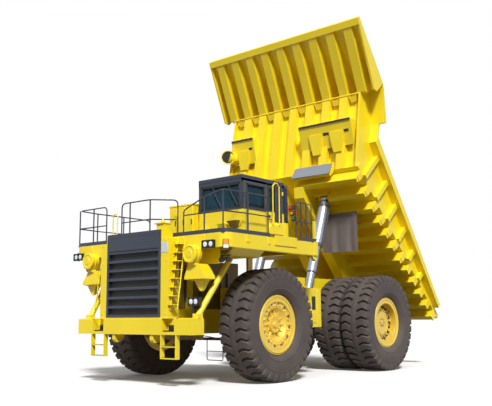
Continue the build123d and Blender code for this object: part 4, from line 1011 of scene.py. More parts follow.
# ---- decks --------------------------------------------------------------------------------------
def deck_edge(side, half, inner, rear, inset):
    """Line so far inside a deck's edge: along its front, round its corner and down its outer side."""
    x, y = side * (half - DECK_CORNER), fore(DECK_FRONT - DECK_CORNER)
    reach = DECK_CORNER - inset
    bend = [math.radians(90 * step / 6) for step in range(7)]
    return [(side * inner, fore(DECK_FRONT - inset)),
            *((x + side * reach * math.sin(turn), y - reach * math.cos(turn)) for turn in bend),
            (side * (half - inset), rear)]


class TRUCK_OT_decks(bpy.types.Operator):
    """Kick strips, rail feet, skirts and guard rails of the decks"""

    bl_idname = "truck.decks"
    bl_label = "Deck trim"

    def execute(self, context):
        height = context.scene.truck_sizes.kick_strip
        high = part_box("left_deck")[1]
        half = high.x
        foot, head = high.z - 0.01, high.z + height
        strips = Solids()
        feet = Solids()
        bolts = []
        for side, inner, rear in ((1, 1.09, fore(0.76)), (-1, 1.32, aft(1.0))):
            # strip along the front, round the corner and down the outer side
            outside, inside = (deck_edge(side, half, inner, rear, inset) for inset in (0.002, 0.022))
            strips.loft([[Vector((*a, foot)), Vector((*a, head)), Vector((*b, head)), Vector((*b, foot))]
                         for a, b in zip(outside, inside)])
        strips.box((half - 0.022, half - 0.002), (aft(0.55), aft(1.34)), (foot, head))
        strips.box((-1.09, 1.09), (aft(1.325), aft(1.345)), (foot, head))
        strips.piece("kick_strips", "roof_paint", "chassis", "navy", bevel=0.003)
        # feet of the rail posts on the fascia
        posts = [(side * x, fore(DECK_FRONT), AHEAD)
                 for side, xs in ((1, (1.44, 2.15)), (-1, (1.58, 2.15))) for x in xs]
        posts += [(side * half, y, (side, 0, 0)) for side in (1, -1) for y in (fore(1.65), fore(0.8))]
        for x, y, facing in posts:
            across = Vector((facing[1], facing[0], 0))
            out = Vector(facing)
            base = Vector((x, y, 0))
            outline = [(-0.055, 3.50), (0.055, 3.50), (0.055, 3.69), (-0.055, 3.69)]
            feet.plate(base, out, across, outline, (-0.01, 0.014))
            bolts += [(base + out * 0.014 + across * a + Vector((0, 0, z)), facing) for a in (-0.03, 0.03)
                      for z in (3.54, 3.64)]
        # flange along the fascia's lower edge, and the skirt that slopes in under each deck
        for _, side in SIDES:
            feet.box((side * 1.30, side * 2.62), (fore(2.44), fore(2.36)), (3.335, 3.352))
            feet.box((side * 2.80, side * 2.895), (fore(2.15), aft(1.34)), (3.335, 3.352))
            feet.prism(1, [(side * x, z) for x, z in (
                (2.44, 3.15), (2.68, 3.17), (2.88, 3.345), (2.86, 3.38), (2.66, 3.20), (2.44, 3.18))],
                fore(2.12), fore(0.95))
            feet.box((side * 1.32, side * 2.44), (fore(2.16), fore(2.13)), (2.98, 3.64))
            # joists under the deck plate
            joist = Solids()
            joist.box((side * 1.35, side * 2.84), (fore(0.95), fore(0.89)), (3.52, 3.64))
            add_row(feet, joist, (0, 0.43, 0), 5, "yellow_paint")
        add_bolts(feet, bolts, "yellow_paint", height=0.01, radius=0.014)
        feet.piece("deck_brackets", "yellow_paint", "chassis", "yellow", bevel=0.003)
        self.rails(half - 0.03, fore(2.41))
        return {"FINISHED"}

    def rails(self, edge, line):
        """Guard rails with bent ends, the yellow grab rail and the rear corner post."""
        deck, shell, mid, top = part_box("left_deck")[1].z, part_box("radiator_shell")[1].z, 4.22, 4.74
        corner = 0.10
        right = [(-1.58, line), (corner - edge, line), (-edge, fore(1.70)), (-edge, aft(0.38))]
        left = [(1.44, line), (edge - corner, line), (edge, fore(1.60)), (edge, fore(0.80))]
        hood = [(-0.83, fore(2.50)), (0.29, fore(2.50)), (0.77, fore(1.96))]
        rear = [(edge, aft(0.40)), (edge, aft(1.12))]
        guard = Solids()
        guard.bent([(*right[0], deck), *((*p, top) for p in right), (*right[-1], deck)], 0.018, 0.13)
        guard.bent([(*left[0], deck), (*left[0], 4.35), (2.15, line, 4.62), (*left[1], top),
                    (*left[2], top), (*left[3], top), (*left[3], deck)], 0.018, 0.09)
        guard.bent([(*hood[0], shell), *((*p, top) for p in hood), (*hood[-1], deck)], 0.018, 0.13)
        guard.bent([(*rear[0], deck), (*rear[0], top), (*rear[1], top), (*rear[1], deck)], 0.016, 0.10)
        for line_points in (right, left, hood, rear):
            guard.tube([(*p, mid) for p in line_points], 0.016)
        for x, y, low, high in ((-2.15, line, deck, top), (corner - edge, line, deck, top),
                                (-edge, fore(1.70), deck, top), (-edge, fore(0.70), deck, top),
                                (2.15, line, deck, 4.62), (edge - corner, line, deck, top),
                                (edge, fore(1.60), deck, top), (-0.50, fore(2.50), shell, top),
                                (0.29, fore(2.50), shell, top), (edge, aft(0.64), deck, top),
                                (edge, aft(0.88), deck, top)):
            guard.tube([(x, y, low), (x, y, high)], 0.019)
        # foot plates of the posts on the deck
        for x, y in [*right, *left, *rear, (-2.15, line), (2.15, line)]:
            guard.box((x - 0.045, x + 0.045), (y - 0.035, y + 0.035), (deck, deck + 0.012))
        guard.piece("guard_rails", "roof_paint", "chassis", "navy", replaces=("handrails",), sharp=50)
        grab = Solids()
        grab.bent([(-1.12, line, deck), (-1.12, line, 4.50), (-1.30, line, 4.50), (-1.30, line, deck)],
                  0.017, 0.085)
        grab.box((edge - 0.07, edge), (aft(1.27), aft(1.34)), (deck, 4.30))
        grab.box((edge - 0.10, edge + 0.04), (aft(1.20), aft(1.352)), (3.34, deck + 0.02))
        grab.prism(0, [(aft(1.10), 3.34), (aft(1.35), 3.34), (aft(1.35), 3.22), (aft(1.28), 3.18)],
                   edge - 0.08, edge)
        grab.piece("grab_rail", "yellow_paint", "chassis", "yellow", bevel=0.003)


# ---- cab ------------------------------------------------------------------------------------------
def window_seal(solids, axis, plane, a, b, width=0.03, proud=0.008):
    """Rubber frame round an opening in a wall; plane is the two faces of the wall along the axis."""
    (a0, a1), (b0, b1) = a, b
    across = (a0 - SEAM_LAP, a1 + SEAM_LAP)
    for (left, right), (low, high) in ((across, (b0 - SEAM_LAP, b0 + width)),
                                       (across, (b1 - width, b1 + SEAM_LAP)),
                                       ((a0 - SEAM_LAP, a0 + width), (b0, b1)),
                                       ((a1 - width, a1 + SEAM_LAP), (b0, b1))):
        outline = [(left, low), (right, low), (right, high), (left, high)]
        solids.prism(axis, outline, plane[0] - proud, plane[1] + proud)


def add_louvres(solids, axis, outline, start, end):
    """Column of slats from the outline of the lowest one."""
    slat = Solids()
    slat.prism(axis, outline, start, end)
    add_row(solids, slat, (0, 0, LOUVRE_PITCH), LOUVRES, "roof_paint")


class TRUCK_OT_cab(bpy.types.Operator):
    """Window seals, visor, wipers, louvres, signal lamps and steps of the cab"""

    bl_idname = "truck.cab"
    bl_label = "Cab trim"

    def execute(self, context):
        glass_low, glass_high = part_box("cab_glass")
        roof_low, roof_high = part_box("cab_roof")
        sill, header = glass_low.z, glass_high.z
        front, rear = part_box("cab_front_wall")[0].y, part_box("cab_rear_wall")[1].y
        inner, outer, wall = roof_low.x, roof_high.x, 0.08
        seals = Solids()
        window_seal(seals, 1, (front, front + wall), (inner + 0.11, outer - 0.11), (sill, header))
        window_seal(seals, 1, (rear - wall, rear), (inner + 0.2, outer - 0.2), (sill, header))
        window_seal(seals, 0, (inner, inner + wall), (front + 0.22, rear - 0.22), (sill, header))
        window_seal(seals, 0, (outer - wall, outer), (front + 0.16, fore(0.73)), (sill, header))
        # wipers on the windscreen
        for x in (inner + 0.45, outer - 0.5):
            seals.tube([(x, front - 0.03, header + 0.03), (x + 0.10, front - 0.035, header - 0.1),
                        (x + 0.24, front - 0.02, header - 0.42)], 0.009, 6)
            seals.tube([(x + 0.10, front - 0.02, header - 0.18), (x + 0.34, front - 0.02, header - 0.56)],
                       0.012, 6)
        seals.piece("window_seals", "black_rubber", "chassis", "dark_steel")
        trim = Solids()
        # raised panel, side rims and visor of the roof, posts beside the windscreen
        trim.box((inner + 0.06, outer - 0.06), (roof_low.y + 0.06, roof_high.y - 0.06),
                 (roof_high.z - 0.02, roof_high.z - 0.002))
        for x in (inner, outer - 0.03):
            trim.box((x, x + 0.03), (roof_low.y, roof_high.y), (roof_low.z - 0.05, roof_low.z + 0.01))
        trim.prism(0, [(roof_low.y, roof_low.z + 0.01), (front + 0.02, roof_low.z + 0.01),
                       (front + 0.02, roof_low.z - 0.10), (roof_low.y, roof_low.z - 0.09)], inner, outer)
        for x in (inner, outer - 0.08):
            trim.box((x, x + 0.08), (front - 0.014, front + 0.01), (sill - 0.02, roof_low.z))
        # sill rail round the cab
        trim.box((inner - 0.006, outer + 0.006), (front - 0.012, front + 0.02), (sill - 0.05, sill - 0.018))
        trim.box((outer - 0.01, outer + 0.012), (front, fore(0.66)), (sill - 0.05, sill - 0.018))
        # louvred column behind the door
        trim.box((outer - 0.30, outer + 0.02), (rear, rear + 0.15), (4.16, 5.16))
        add_louvres(trim, 0, [(rear + y, z) for y, z in (
            (0.148, 4.20), (0.17, 4.20), (0.15, 4.23), (0.148, 4.23))], outer - 0.28, outer)
        add_louvres(trim, 1, [(outer + x, z) for x, z in (
            (0.018, 4.20), (0.045, 4.20), (0.022, 4.235), (0.018, 4.235))], rear + 0.01, rear + 0.14)
        # marker lamp socket on the roof's edge
        trim.turned((outer - 0.35, front + 0.35, roof_high.z - 0.03), UPWARD,
                    [(0, 0.04), (0.03, 0.04), (0.04, 0.02)], 12)
        trim.piece("cab_trim", "roof_paint", "chassis", "navy", bevel=0.004)
        # yellow parts: step under the windscreen, box beside it, panel seam
        low_trim = Solids()
        low_trim.prism(0, [(front - 0.16, 4.02), (front, 4.02), (front, 3.86), (front - 0.10, 3.86)],
                       1.98, 2.22)
        low_trim.box((1.34, 1.50), (front - 0.10, front), (3.80, 3.98))
        low_trim.box((inner + 0.05, outer - 0.05), (front - 0.006, front + 0.01), (3.80, 3.815))
        bolts = [((x, front, z), AHEAD) for x in (1.28, 1.66, 2.28, 2.62) for z in (3.86, 4.30)]
        bolts += [((outer, y, z), (1, 0, 0)) for y in (fore(1.5), fore(0.72)) for z in (3.86, 4.30)]
        add_bolts(low_trim, bolts, "yellow_paint", height=0.008, radius=0.014)
        # yellow box under the louvres and the plate that covers the deck's edge under the door
        low_trim.box((outer - 0.30, outer + 0.03), (rear, rear + 0.15), (3.72, 4.15))
        low_trim.prism(1, [(2.905, 3.755), (2.930, 3.755), (2.925, 3.50), (2.902, 3.50)],
                       fore(0.58), aft(0.36))
        # tapered pan beside the step, in the dark olive of painted shade since it faces down
        low_trim.finish = 1
        low_trim.loft([[Vector((x0, front + near, z)), Vector((x1, front + near, z)),
                        Vector((x1, front + 0.01, z)), Vector((x0, front + 0.01, z))]
                       for x0, x1, near, z in ((2.28, 2.62, -0.15, 4.07), (2.36, 2.55, -0.07, 3.90))])
        low_trim.piece("cab_low_trim", ("yellow_paint", "olive_paint"), "chassis", "yellow", bevel=0.004)
        lights = Solids()
        x = outer + 0.06
        lights.tube([(x + 0.06, aft(0.40), 4.66), (x + 0.06, aft(0.50), 4.12)], 0.018, 8)
        for finish, y, z in ((1, aft(0.30), 4.57), (2, aft(0.36), 4.43), (3, aft(0.42), 4.29)):
            lights.finish = 0
            lights.box((x - 0.045, x + 0.045), (y, y + 0.05), (z - 0.055, z + 0.055))
            lights.box((x - 0.01, x + 0.05), (y + 0.02, aft(0.46)), (z - 0.01, z + 0.01))
            lights.finish = finish
            lights.turned((x, y, z), AHEAD, [(-0.01, 0.042), (0.02, 0.042), (0.03, 0.03)], 16)
        lights.piece("signal_lamps", ("roof_paint", "red_lens", "amber_lens", "green_lens"), "chassis",
                     "navy")
        return {"FINISHED"}


class TRUCK_OT_door(bpy.types.Operator):
    """Window seal, handle, louvres and skirt of the cab door"""

    bl_idname = "truck.door"
    bl_label = "Door trim"

    def execute(self, context):
        glass_low, glass_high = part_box("door_glass")
        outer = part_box("cab_outer_wall")[1].x
        door = Solids()
        window_seal(door, 0, (outer - 0.08, outer), (glass_low.y, glass_high.y), (glass_low.z, glass_high.z))
        door.box((outer - 0.002, outer + 0.022), (fore(0.60), fore(0.50)), (4.24, 4.30))
        door.tube([(outer + out, fore(ahead), 4.18) for out, ahead in (
            (0, 0.60), (0.04, 0.60), (0.04, 0.48), (0, 0.48))], 0.008, 8)
        door.piece("door_seal", "black_rubber", "door", "dark_steel")
        # louvred panel on the door's rear third
        panel = Solids()
        panel.box((outer - 0.004, outer + 0.012), (fore(0.30), aft(0.0)), (4.14, 5.13))
        add_louvres(panel, 1, [(outer + x, z) for x, z in (
            (0.010, 4.18), (0.030, 4.18), (0.014, 4.215), (0.010, 4.215))], fore(0.17), fore(0.01))
        panel.piece("door_louvres", "roof_paint", "door", "navy", bevel=0.002)
        skirt = Solids()
        skirt.prism(0, [(fore(0.58), 3.80), (fore(0.01), 3.80), (fore(0.01), 4.12), (fore(0.20), 4.12),
                        (fore(0.24), 4.05), (fore(0.52), 4.05), (fore(0.58), 3.98)],
                    outer - 0.004, outer + 0.085)
        skirt.piece("door_skirt", "yellow_paint", "door", "yellow", bevel=0.006)
        return {"FINISHED"}


def cushion(name, centre, spread, crown, finish):
    """Stuffed pad: a box with crowned faces, pulled-in sides, a piped seam and two sewn channels."""
    pad = bmesh.new()
    bmesh.ops.create_cube(pad, size=2.0)
    bmesh.ops.subdivide_edges(pad, edges=pad.edges[:], cuts=13, use_grid_fill=True)
    for vertex in pad.verts:
        x, y, z = vertex.co
        full = (1 - x ** 4) * (1 - y ** 4)
        side = max(abs(x), abs(y))
        pull = 0.05 * (1 - min(abs(x), abs(y)) ** 2) * side ** 6
        corner = 1 - 0.09 * (abs(x) * abs(y)) ** 3 - pull - 0.05 * z * z * side ** 4
        seams = sum(math.exp(-((x - place) / 0.05) ** 2) for place in (-0.42, 0.42))
        channel = seams * 0.10 * (z > 0)
        height = z * (0.72 + 0.28 * full) - channel * full * abs(z)
        height *= 1 + crown * full * (z > 0)
        placed = Vector((x * corner * spread[0], y * corner * spread[1], height * spread[2]))
        vertex.co = placed + Vector(centre)
    data = bpy.data.meshes.new(name)
    pad.to_mesh(data)
    pad.free()
    data.materials.append(bpy.data.materials[finish])
    data.shade_smooth()
    piece = bpy.data.objects.new(name, data)
    bpy.context.scene.collection.objects.link(piece)
    return piece


# Stations of a seat's pedestal: height over the floor, radius.
SEAT_PEDESTAL = ((0, 0.13), (0.03, 0.13), (0.05, 0.09), (0.24, 0.085), (0.27, 0.12), (0.34, 0.12))


class TRUCK_OT_cab_inside(bpy.types.Operator):
    """Seats, console, steering column and wheel inside the cab"""

    bl_idname = "truck.cab_inside"
    bl_label = "Cab inside"

    def execute(self, context):
        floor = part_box("cab_floor")[1].z
        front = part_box("cab_front_wall")[0].y
        inside = Solids()
        for label, x, y in (("operator", 2.02, fore(0.56)), ("trainer", 1.54, fore(0.42))):
            seat = cushion(f"{label}_seat_cushion", (x, y, floor + 0.405), (0.21, 0.23, 0.065), 0.15,
                           "seat_cloth")
            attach(seat, "chassis")
            back = cushion(f"{label}_seat_back", (0, 0, 0), (0.20, 0.30, 0.06), 0.15, "seat_cloth")
            for vertex in back.data.vertices:
                px, py, pz = vertex.co
                vertex.co = (x + px, y + 0.205 - pz, floor + 0.75 + py)
            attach(back, "chassis")
            inside.turned((x, y, floor), UPWARD, SEAT_PEDESTAL, 16)
            inside.box((x - 0.18, x + 0.18), (y + 0.245, y + 0.26), (floor + 0.45, floor + 1.0))
        # console across the cab's front, steering column
        (x0, x1), (y0, y1) = (1.30, 2.60), (front + 0.09, front + 0.33)
        inside.prism(0, [(y0, floor), (y1 - 0.06, floor), (y1, floor + 0.42), (y1 - 0.02, floor + 0.54),
                         (y0 + 0.05, floor + 0.62), (y0, floor + 0.62)], x0, x1)
        inside.box((1.95, 2.09), (y1 - 0.04, y1 + 0.06), (floor + 0.40, floor + 0.56))
        inside.tube([(2.02, front + 0.30, floor + 0.56), (2.02, front + 0.50, floor + 0.79)], 0.03, 12)
        # steering wheel: rim, three spokes, hub
        hub = Vector((2.02, front + 0.525, floor + 0.80))
        rim_radius, grip = 0.20, 0.014
        normal = Vector((0, 0.68, 0.73)).normalized()
        across = Vector((1, 0, 0))
        up = normal.cross(across)
        ring = [hub + (across * math.cos(turn) + up * math.sin(turn)) * rim_radius for turn in turns(32)]
        inside.loft([[point + ((point - hub).normalized() * math.cos(turn) + normal * math.sin(turn)) * grip
                      for turn in turns(8)] for point in ring], closed=True)
        for turn in (0.5, 2.64, 4.71):
            inside.tube([hub, hub + (across * math.cos(turn) + up * math.sin(turn)) * rim_radius], 0.011, 6)
        inside.turned(hub - normal * 0.02, normal, [(0, 0.05), (0.03, 0.05), (0.036, 0.03)], 16)
        inside.piece("cab_controls", "black_rubber", "chassis", "dark_steel", replaces=("cab_interior",),
                     bevel=0.004)
        return {"FINISHED"}


# ---- tanks, cabinet, running gear --------------------------------------------------------------------
class TRUCK_OT_tanks(bpy.types.Operator):
    """Straps, caps and sight glasses of the side tanks, doors of the deck cabinet"""

    bl_idname = "truck.tanks"
    bl_label = "Tanks and cabinet"

    def execute(self, context):
        low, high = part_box("side_tanks")
        trim = Solids()
        dark = Solids()
        bolts = []
        for _, side in SIDES:
            face, strap = side * high.x, side * 0.012
            for y in (low.y + 0.16, high.y - 0.16):
                trim.box((face - side * 0.01, face + strap), (y - 0.035, y + 0.035),
                         (low.z + 0.02, high.z + 0.012))
                trim.box((side * 1.36, face + strap), (y - 0.035, y + 0.035), (high.z, high.z + 0.012))
                bolts += [((face + strap, y, z), (side, 0, 0)) for z in (low.z + 0.1, high.z - 0.1)]
            trim.turned((side * 1.70, mix(low.y, high.y, 0.5), high.z), UPWARD,
                        [(-0.01, 0.10), (0.04, 0.10), (0.05, 0.08), (0.07, 0.08)], 24)
            trim.box((face - side * 0.01, face + side * 0.016), (low.y + 0.24, high.y - 0.24),
                     (low.z + 0.12, low.z + 0.42))
            dark.box((face - side * 0.004, face + side * 0.010), (low.y + 0.29, low.y + 0.46),
                     (high.z - 0.62, high.z - 0.24))
            trim.box((side * 1.36, face - side * 0.04), (low.y - 0.012, low.y + 0.004),
                     (low.z + 0.10, high.z - 0.10))
            bolts += [((side * x, low.y - 0.012, z), AHEAD) for x in (1.44, 1.70, 1.96)
                      for z in (low.z + 0.16, high.z - 0.16)]
        cabinet_low, cabinet_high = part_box("deck_cabinet")
        for index in range(3):
            x0 = mix(cabinet_low.x, cabinet_high.x, index / 3) + 0.02
            x1 = mix(cabinet_low.x, cabinet_high.x, (index + 1) / 3) - 0.02
            trim.box((x0, x1), (cabinet_low.y - 0.014, cabinet_low.y + 0.01),
                     (cabinet_low.z + 0.06, cabinet_high.z - 0.06))
            dark.box((x1 - 0.05, x1 - 0.03), (cabinet_low.y - 0.034, cabinet_low.y - 0.012), (4.1, 4.24))
        trim.box((cabinet_low.x - 0.015, cabinet_high.x + 0.015),
                 (cabinet_low.y - 0.015, cabinet_high.y + 0.015),
                 (cabinet_high.z - 0.03, cabinet_high.z + 0.012))
        for share in (0.3, 0.7):
            y = mix(cabinet_low.y, cabinet_high.y, share)
            trim.box((cabinet_high.x - 0.01, cabinet_high.x + 0.012), (y - 0.17, y + 0.17),
                     (cabinet_low.z + 0.08, cabinet_high.z - 0.08))
        add_bolts(trim, bolts, "yellow_paint", height=0.01, radius=0.016)
        trim.piece("tank_trim", "yellow_paint", "chassis", "yellow", bevel=0.004)
        dark.piece("tank_glass", "black_rubber", "chassis", "dark_steel", bevel=0.003)
        return {"FINISHED"}


class TRUCK_OT_running_gear(bpy.types.Operator):
    """Engine ribs, pipes, oil pan, flanges, gland rings and hoses under the truck"""

    bl_idname = "truck.running_gear"
    bl_label = "Running gear"

    def execute(self, context):
        low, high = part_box("engine_block")
        gear = Solids()
        for _, side in SIDES:
            rib = Solids()
            rib.prism(2, [(side * (high.x + out), low.y + back) for out, back in (
                (-0.01, 0.2), (0.05, 0.22), (0.05, 0.26), (-0.01, 0.28))], low.z + 0.2, high.z - 0.3)
            add_row(gear, rib, (0, 0.28, 0), 7, "dark_steel")
            gear.tube([(side * 0.5, low.y + 0.1, high.z - 0.1), (side * 0.5, low.y - 0.1, high.z - 0.12),
                       (side * 0.42, low.y - 0.25, high.z - 0.3)], 0.06, 12)
        # oil pan, flanges of the prop shaft
        gear.loft([[Vector((x, y, low.z + rise)) for x, y in (
            (-half, low.y + inset), (half, low.y + inset), (half, high.y - inset), (-half, high.y - inset))]
            for half, inset, rise in ((0.36, 0.1, 0.01), (0.30, 0.25, -0.22), (0.24, 0.3, -0.26))])
        shaft_front, shaft_rear = aft(2.15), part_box("drive_line")[1].y
        for y in (aft(2.17), shaft_rear - 0.08):
            share = (y - shaft_front) / (shaft_rear - shaft_front)
            gear.turned((0, y, mix(1.56, 1.48, share)), (0, 1, -0.03), [(-0.03, 0.15), (0.05, 0.15)], 20)
        # gland rings and caps of the front struts
        for _, side in SIDES:
            for z in (1.965, 2.50):
                gear.turned((side * STRUT_X, AXLE_Y, z), UPWARD,
                            [(-0.004, 0.165), (0.02, 0.175), (0.045, 0.175), (0.055, 0.16)], 28)
            gear.turned((side * STRUT_X, AXLE_Y, 2.63), UPWARD,
                        [(-0.02, 0.11), (0.05, 0.11), (0.07, 0.09)], 20)
        gear.piece("running_gear", "dark_steel", "chassis", "dark_steel")
        hoses = Solids()
        for x, path in ((0.55, ((0.0, 0.0), (0.25, -0.16), (0.6, -0.22), (0.95, -0.15), (1.2, 0.0))),
                        (-0.52, ((0.0, 0.0), (0.3, -0.2), (0.7, -0.26), (1.1, -0.18), (1.4, 0.02))),
                        (0.28, ((0.1, 0.0), (0.3, -0.12), (0.6, -0.18), (0.9, -0.12), (1.1, 0.0)))):
            hoses.tube([(x, fore(2.2) + forward, 1.46 + drop) for forward, drop in path], 0.028, 8)
        hoses.piece("frame_hoses", "black_rubber", "chassis", "dark_steel", sharp=60)
        return {"FINISHED"}


# ---- bed -------------------------------------------------------------------------------------------
DUCT_FACING = (0.62, -0.75, -0.2)


def wall_place(x, share, out):
    """Point on the front wall: share from its foot to its head, so far out from the ribs' face."""
    foot, head = Vector(FLOOR_FRONT), Vector(RIB_FOOT)
    along = head - foot
    face = Vector((-along.y, along.x)).normalized()
    if face.x > 0:
        face = -face
    place = foot + along * share + face * out
    return bed(x, place.x, place.y)


# Two rings of the block at a rib's upper end: share up the wall, sideways, outwards.
RIB_END = (((0.975, -0.15, -0.01), (0.975, 0.15, -0.01), (0.90, 0.10, -0.10), (0.90, -0.10, -0.10)),
           ((0.985, -0.15, -0.12), (0.985, 0.15, -0.12), (0.96, 0.10, -0.19), (0.96, -0.10, -0.19)))


class TRUCK_OT_bed(bpy.types.Operator):
    """Seam bar, rib ends and tabs on the bed"""

    bl_idname = "truck.bed"
    bl_label = "Bed trim"

    def execute(self, context):
        trim = Solids()
        # thin bar along the joint of canopy and front wall
        trim.wall_strip(((0.985, -0.02), (1.0, -0.02), (1.0, 0.025), (0.985, 0.025)), -BED_HALF, BED_HALF)
        for index in range(-4, 4):
            x = (index + 0.5) * RIB_PITCH
            # block that ends a rib at an angle just under the joint
            trim.loft([[wall_place(x + a, share, out) for share, a, out in ring] for ring in RIB_END])
        # tabs at the outer ends of the floor's cross members
        for r in (-3.93, -3.33, -2.69, -2.12, -1.57, -1.01, -0.45, 0.11, 0.67, 1.23, 1.79, 2.35):
            u = mix(FLOOR_FRONT[1], FLOOR_TAIL[1], (r - FLOOR_FRONT[0]) / (FLOOR_TAIL[0] - FLOOR_FRONT[0]))
            for _, side in SIDES:
                trim.bed_prism([(r - 0.13, u - 0.02), (r + 0.13, u - 0.02), (r + 0.10, u - 0.30),
                                (r - 0.10, u - 0.30)], side * 2.69, side * 2.73)
        trim.piece("bed_trim", "yellow_paint", "bed", "yellow", bevel=0.004)
        return {"FINISHED"}


class TRUCK_OT_deflectors(bpy.types.Operator):
    """Exhaust ducts, chutes and the nose box on the bed's front"""

    bl_idname = "truck.deflectors"
    bl_label = "Deflectors and ducts"

    def execute(self, context):
        ducts = Solids()
        for x0, x1, share in ((0.95, 1.35, 0.33), (1.75, 2.15, 0.33), (-2.15, -1.75, 0.30)):
            # hat-shaped chute under a deflector
            ducts.loft([[wall_place(x, share + rise, out) for x, out in (
                (x0 - wider, -0.02), (x1 + wider, -0.02), (x1 + wider, proud), (x0 - wider, proud))]
                for rise, wider, proud in ((0.16, 0.08, 0.20), (-0.10, -0.05, 0.05))])
        # exhaust inlet: elbow on the wall's right end with an open mouth
        mouth = wall_place(-2.47, 0.38, 0.36)
        back = mouth - Vector(DUCT_FACING).normalized() * 0.08
        ducts.tube([wall_place(-2.38, 0.39, -0.02), back], 0.21, 24)
        ducts.turned(mouth, DUCT_FACING, [(-0.14, 0.205), (0.03, 0.25), (0.05, 0.25), (0.05, 0.215),
                                          (0.0, 0.210)], 32)
        ducts.piece("bed_ducts", "yellow_paint", "bed", "yellow", bevel=0.004)
        dark = Solids()
        # black disc just inside the mouth: painted shade of the duct's inside
        dark.turned(mouth, DUCT_FACING, [(-0.01, 0.212), (0.030, 0.214)], 32)
        # dark strip along each deflector's outer edge, painted shade on its top; dark plates in the openings
        # between the chutes, painted shade in the holes
        for x0, x1 in ((0.52, 2.50), (-2.43, -1.47)):
            dark.wall_strip(((0.600, 0.290), (0.622, 0.302), (0.616, 0.312), (0.594, 0.300)), x0, x1)
        for x0, x1 in ((1.40, 1.66), (2.18, 2.40), (-1.70, -1.55)):
            dark.wall_strip(((0.470, 0.140), (0.500, 0.170), (0.497, 0.180), (0.467, 0.150)), x0, x1)
        dark.piece("duct_mouth", "black_rubber", "bed", "dark_steel")
        box = Solids()
        box.bed_prism([(-4.42, 1.18), (-4.20, 1.16), (-4.16, 0.86), (-4.30, 0.80)], 0.40, 1.82)
        box.piece("nose_box", "yellow_paint", "bed", "yellow", bevel=0.004)
        lid = Solids()
        lid.bed_prism([(-4.44, 1.19), (-4.425, 1.20), (-4.27, 0.80), (-4.32, 0.79)], 0.38, 1.84)
        lid.piece("nose_box_lid", "cylinder_steel", "bed", "hoist_steel")
        return {"FINISHED"}


class TRUCK_OT_mud_flaps(bpy.types.Operator):
    """Rubber mud flaps that hang in folds from their rods"""

    bl_idname = "truck.mud_flaps"
    bl_label = "Mud flaps"

    def execute(self, context):
        depth = context.scene.truck_sizes.fold
        low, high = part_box("mud_flaps")
        flaps = Solids()
        rod_z = high.z - 0.016
        y = (low.y + high.y) / 2
        columns, rows = 72, 22
        inner, outer, half_sheet = 0.857, 2.178, 0.008
        for _, side in SIDES:
            rings = []
            for row in range(rows + 1):
                drop = row / rows
                z = rod_z - drop * (rod_z - low.z - 0.004)
                front, back = [], []
                for column in range(columns + 1):
                    across = column / columns
                    slow = math.sin(across * 17.0 + 0.6 * math.sin(drop * 3.0)) * 0.6
                    wave = slow + math.sin(across * 31.0 + 1.7) * 0.25
                    out = depth * wave * (0.15 + 0.85 * drop)
                    x = side * mix(inner, outer, across)
                    front.append(Vector((x, y - half_sheet + out, z)))
                    back.append(Vector((x, y + half_sheet + out, z)))
                rings.append(front + back[::-1])
            # each ring is one row of the sheet, its front edge and then its back edge
            flaps.loft(rings)
            flaps.tube([(side * 0.823, y, rod_z), (side * 2.212, y, rod_z)], 0.016, 12)
            flaps.box((side * inner, side * outer), (y - 0.022, y + 0.022), (rod_z - 0.09, rod_z - 0.01))
        flaps.piece("mud_flap_sheets", "flap_rubber", "mud_flaps", "mud_rubber", replaces=("mud_flaps",),
                    sharp=50)
        return {"FINISHED"}


# Closed outline of a band round a hoist's housing: distance along the hoist, radius.
BAND_PROFILE = ((0, 0.182), (0, 0.188), (0.012, 0.200), (0.075, 0.200), (0.09, 0.188), (0.09, 0.182))


class TRUCK_OT_hoists(bpy.types.Operator):
    """Gland rings, bands and hoses of the two hoists"""

    bl_idname = "truck.hoists"
    bl_label = "Hoist trim"

    def execute(self, context):
        stage_radius = 0.15
        for label, side in SIDES:
            head = Vector(JOINTS[f"hoist_{label}_pivot"]["pos_m"])
            line = Vector(JOINTS[f"hoist_{label}_stage_slide"]["axis"]).normalized()
            if line.z > 0:
                line = -line
            head.x = middle(f"hoist_{label}_housing").x
            rings = Solids()
            for distance in (0.26, 1.62):
                rings.collar(head + line * distance, line, BAND_PROFILE)
            rings.collar(head + line * 1.665, line, [(0, 0.182), (0, 0.19), (0.05, 0.19), (0.0545, 0.158),
                                                     (0.0545, 0.153), (0.04, 0.182)])
            rings.tube([head + line * distance + Vector((side * out, 0, 0)) for distance, out in (
                (0.30, 0.19), (0.36, 0.225), (1.5, 0.225), (1.58, 0.19))], 0.014, 8)
            rings.piece(f"hoist_{label}_bands", "dark_steel", f"hoist_{label}_housing", "hoist_steel")
            ring = Solids()
            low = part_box(f"hoist_{label}_stage")[0]
            stage_end = (head.z - low.z) / -line.z - stage_radius * math.hypot(line.x, line.y) / -line.z
            ring.collar(head + line * (stage_end - 0.042), line,
                        [(0, 0.147), (0, 0.152), (0.006, 0.160), (0.036, 0.160), (0.042, 0.130),
                         (0.038, 0.128)])
            ring.piece(f"hoist_{label}_gland", "dark_steel", f"hoist_{label}_stage", "hoist_steel")
        return {"FINISHED"}


# ---- stage ----------------------------------------------------------------------------------------------
FLOOR_BOUNCE = (0.20, 0.18, 0.15)  # the floor's colour for light that it throws back
FLOOR_SEEN = (0.93, 0.92, 0.92)
# Each sun: name, strength, width in degrees, direction of its light.
SUNS = (("key", 3.7, 9, (-0.55, 0.50, -0.68)), ("fill", 0.5, 30, (-0.2, 0.60, -0.78)))
CAMERA_PLACE = (14.404, -18.479, 1.687)
CAMERA_TURN = (40.097, 8.841, -0.411)  # degrees to the left, upwards and about the line of sight
FOCAL_LENGTH = 53.55


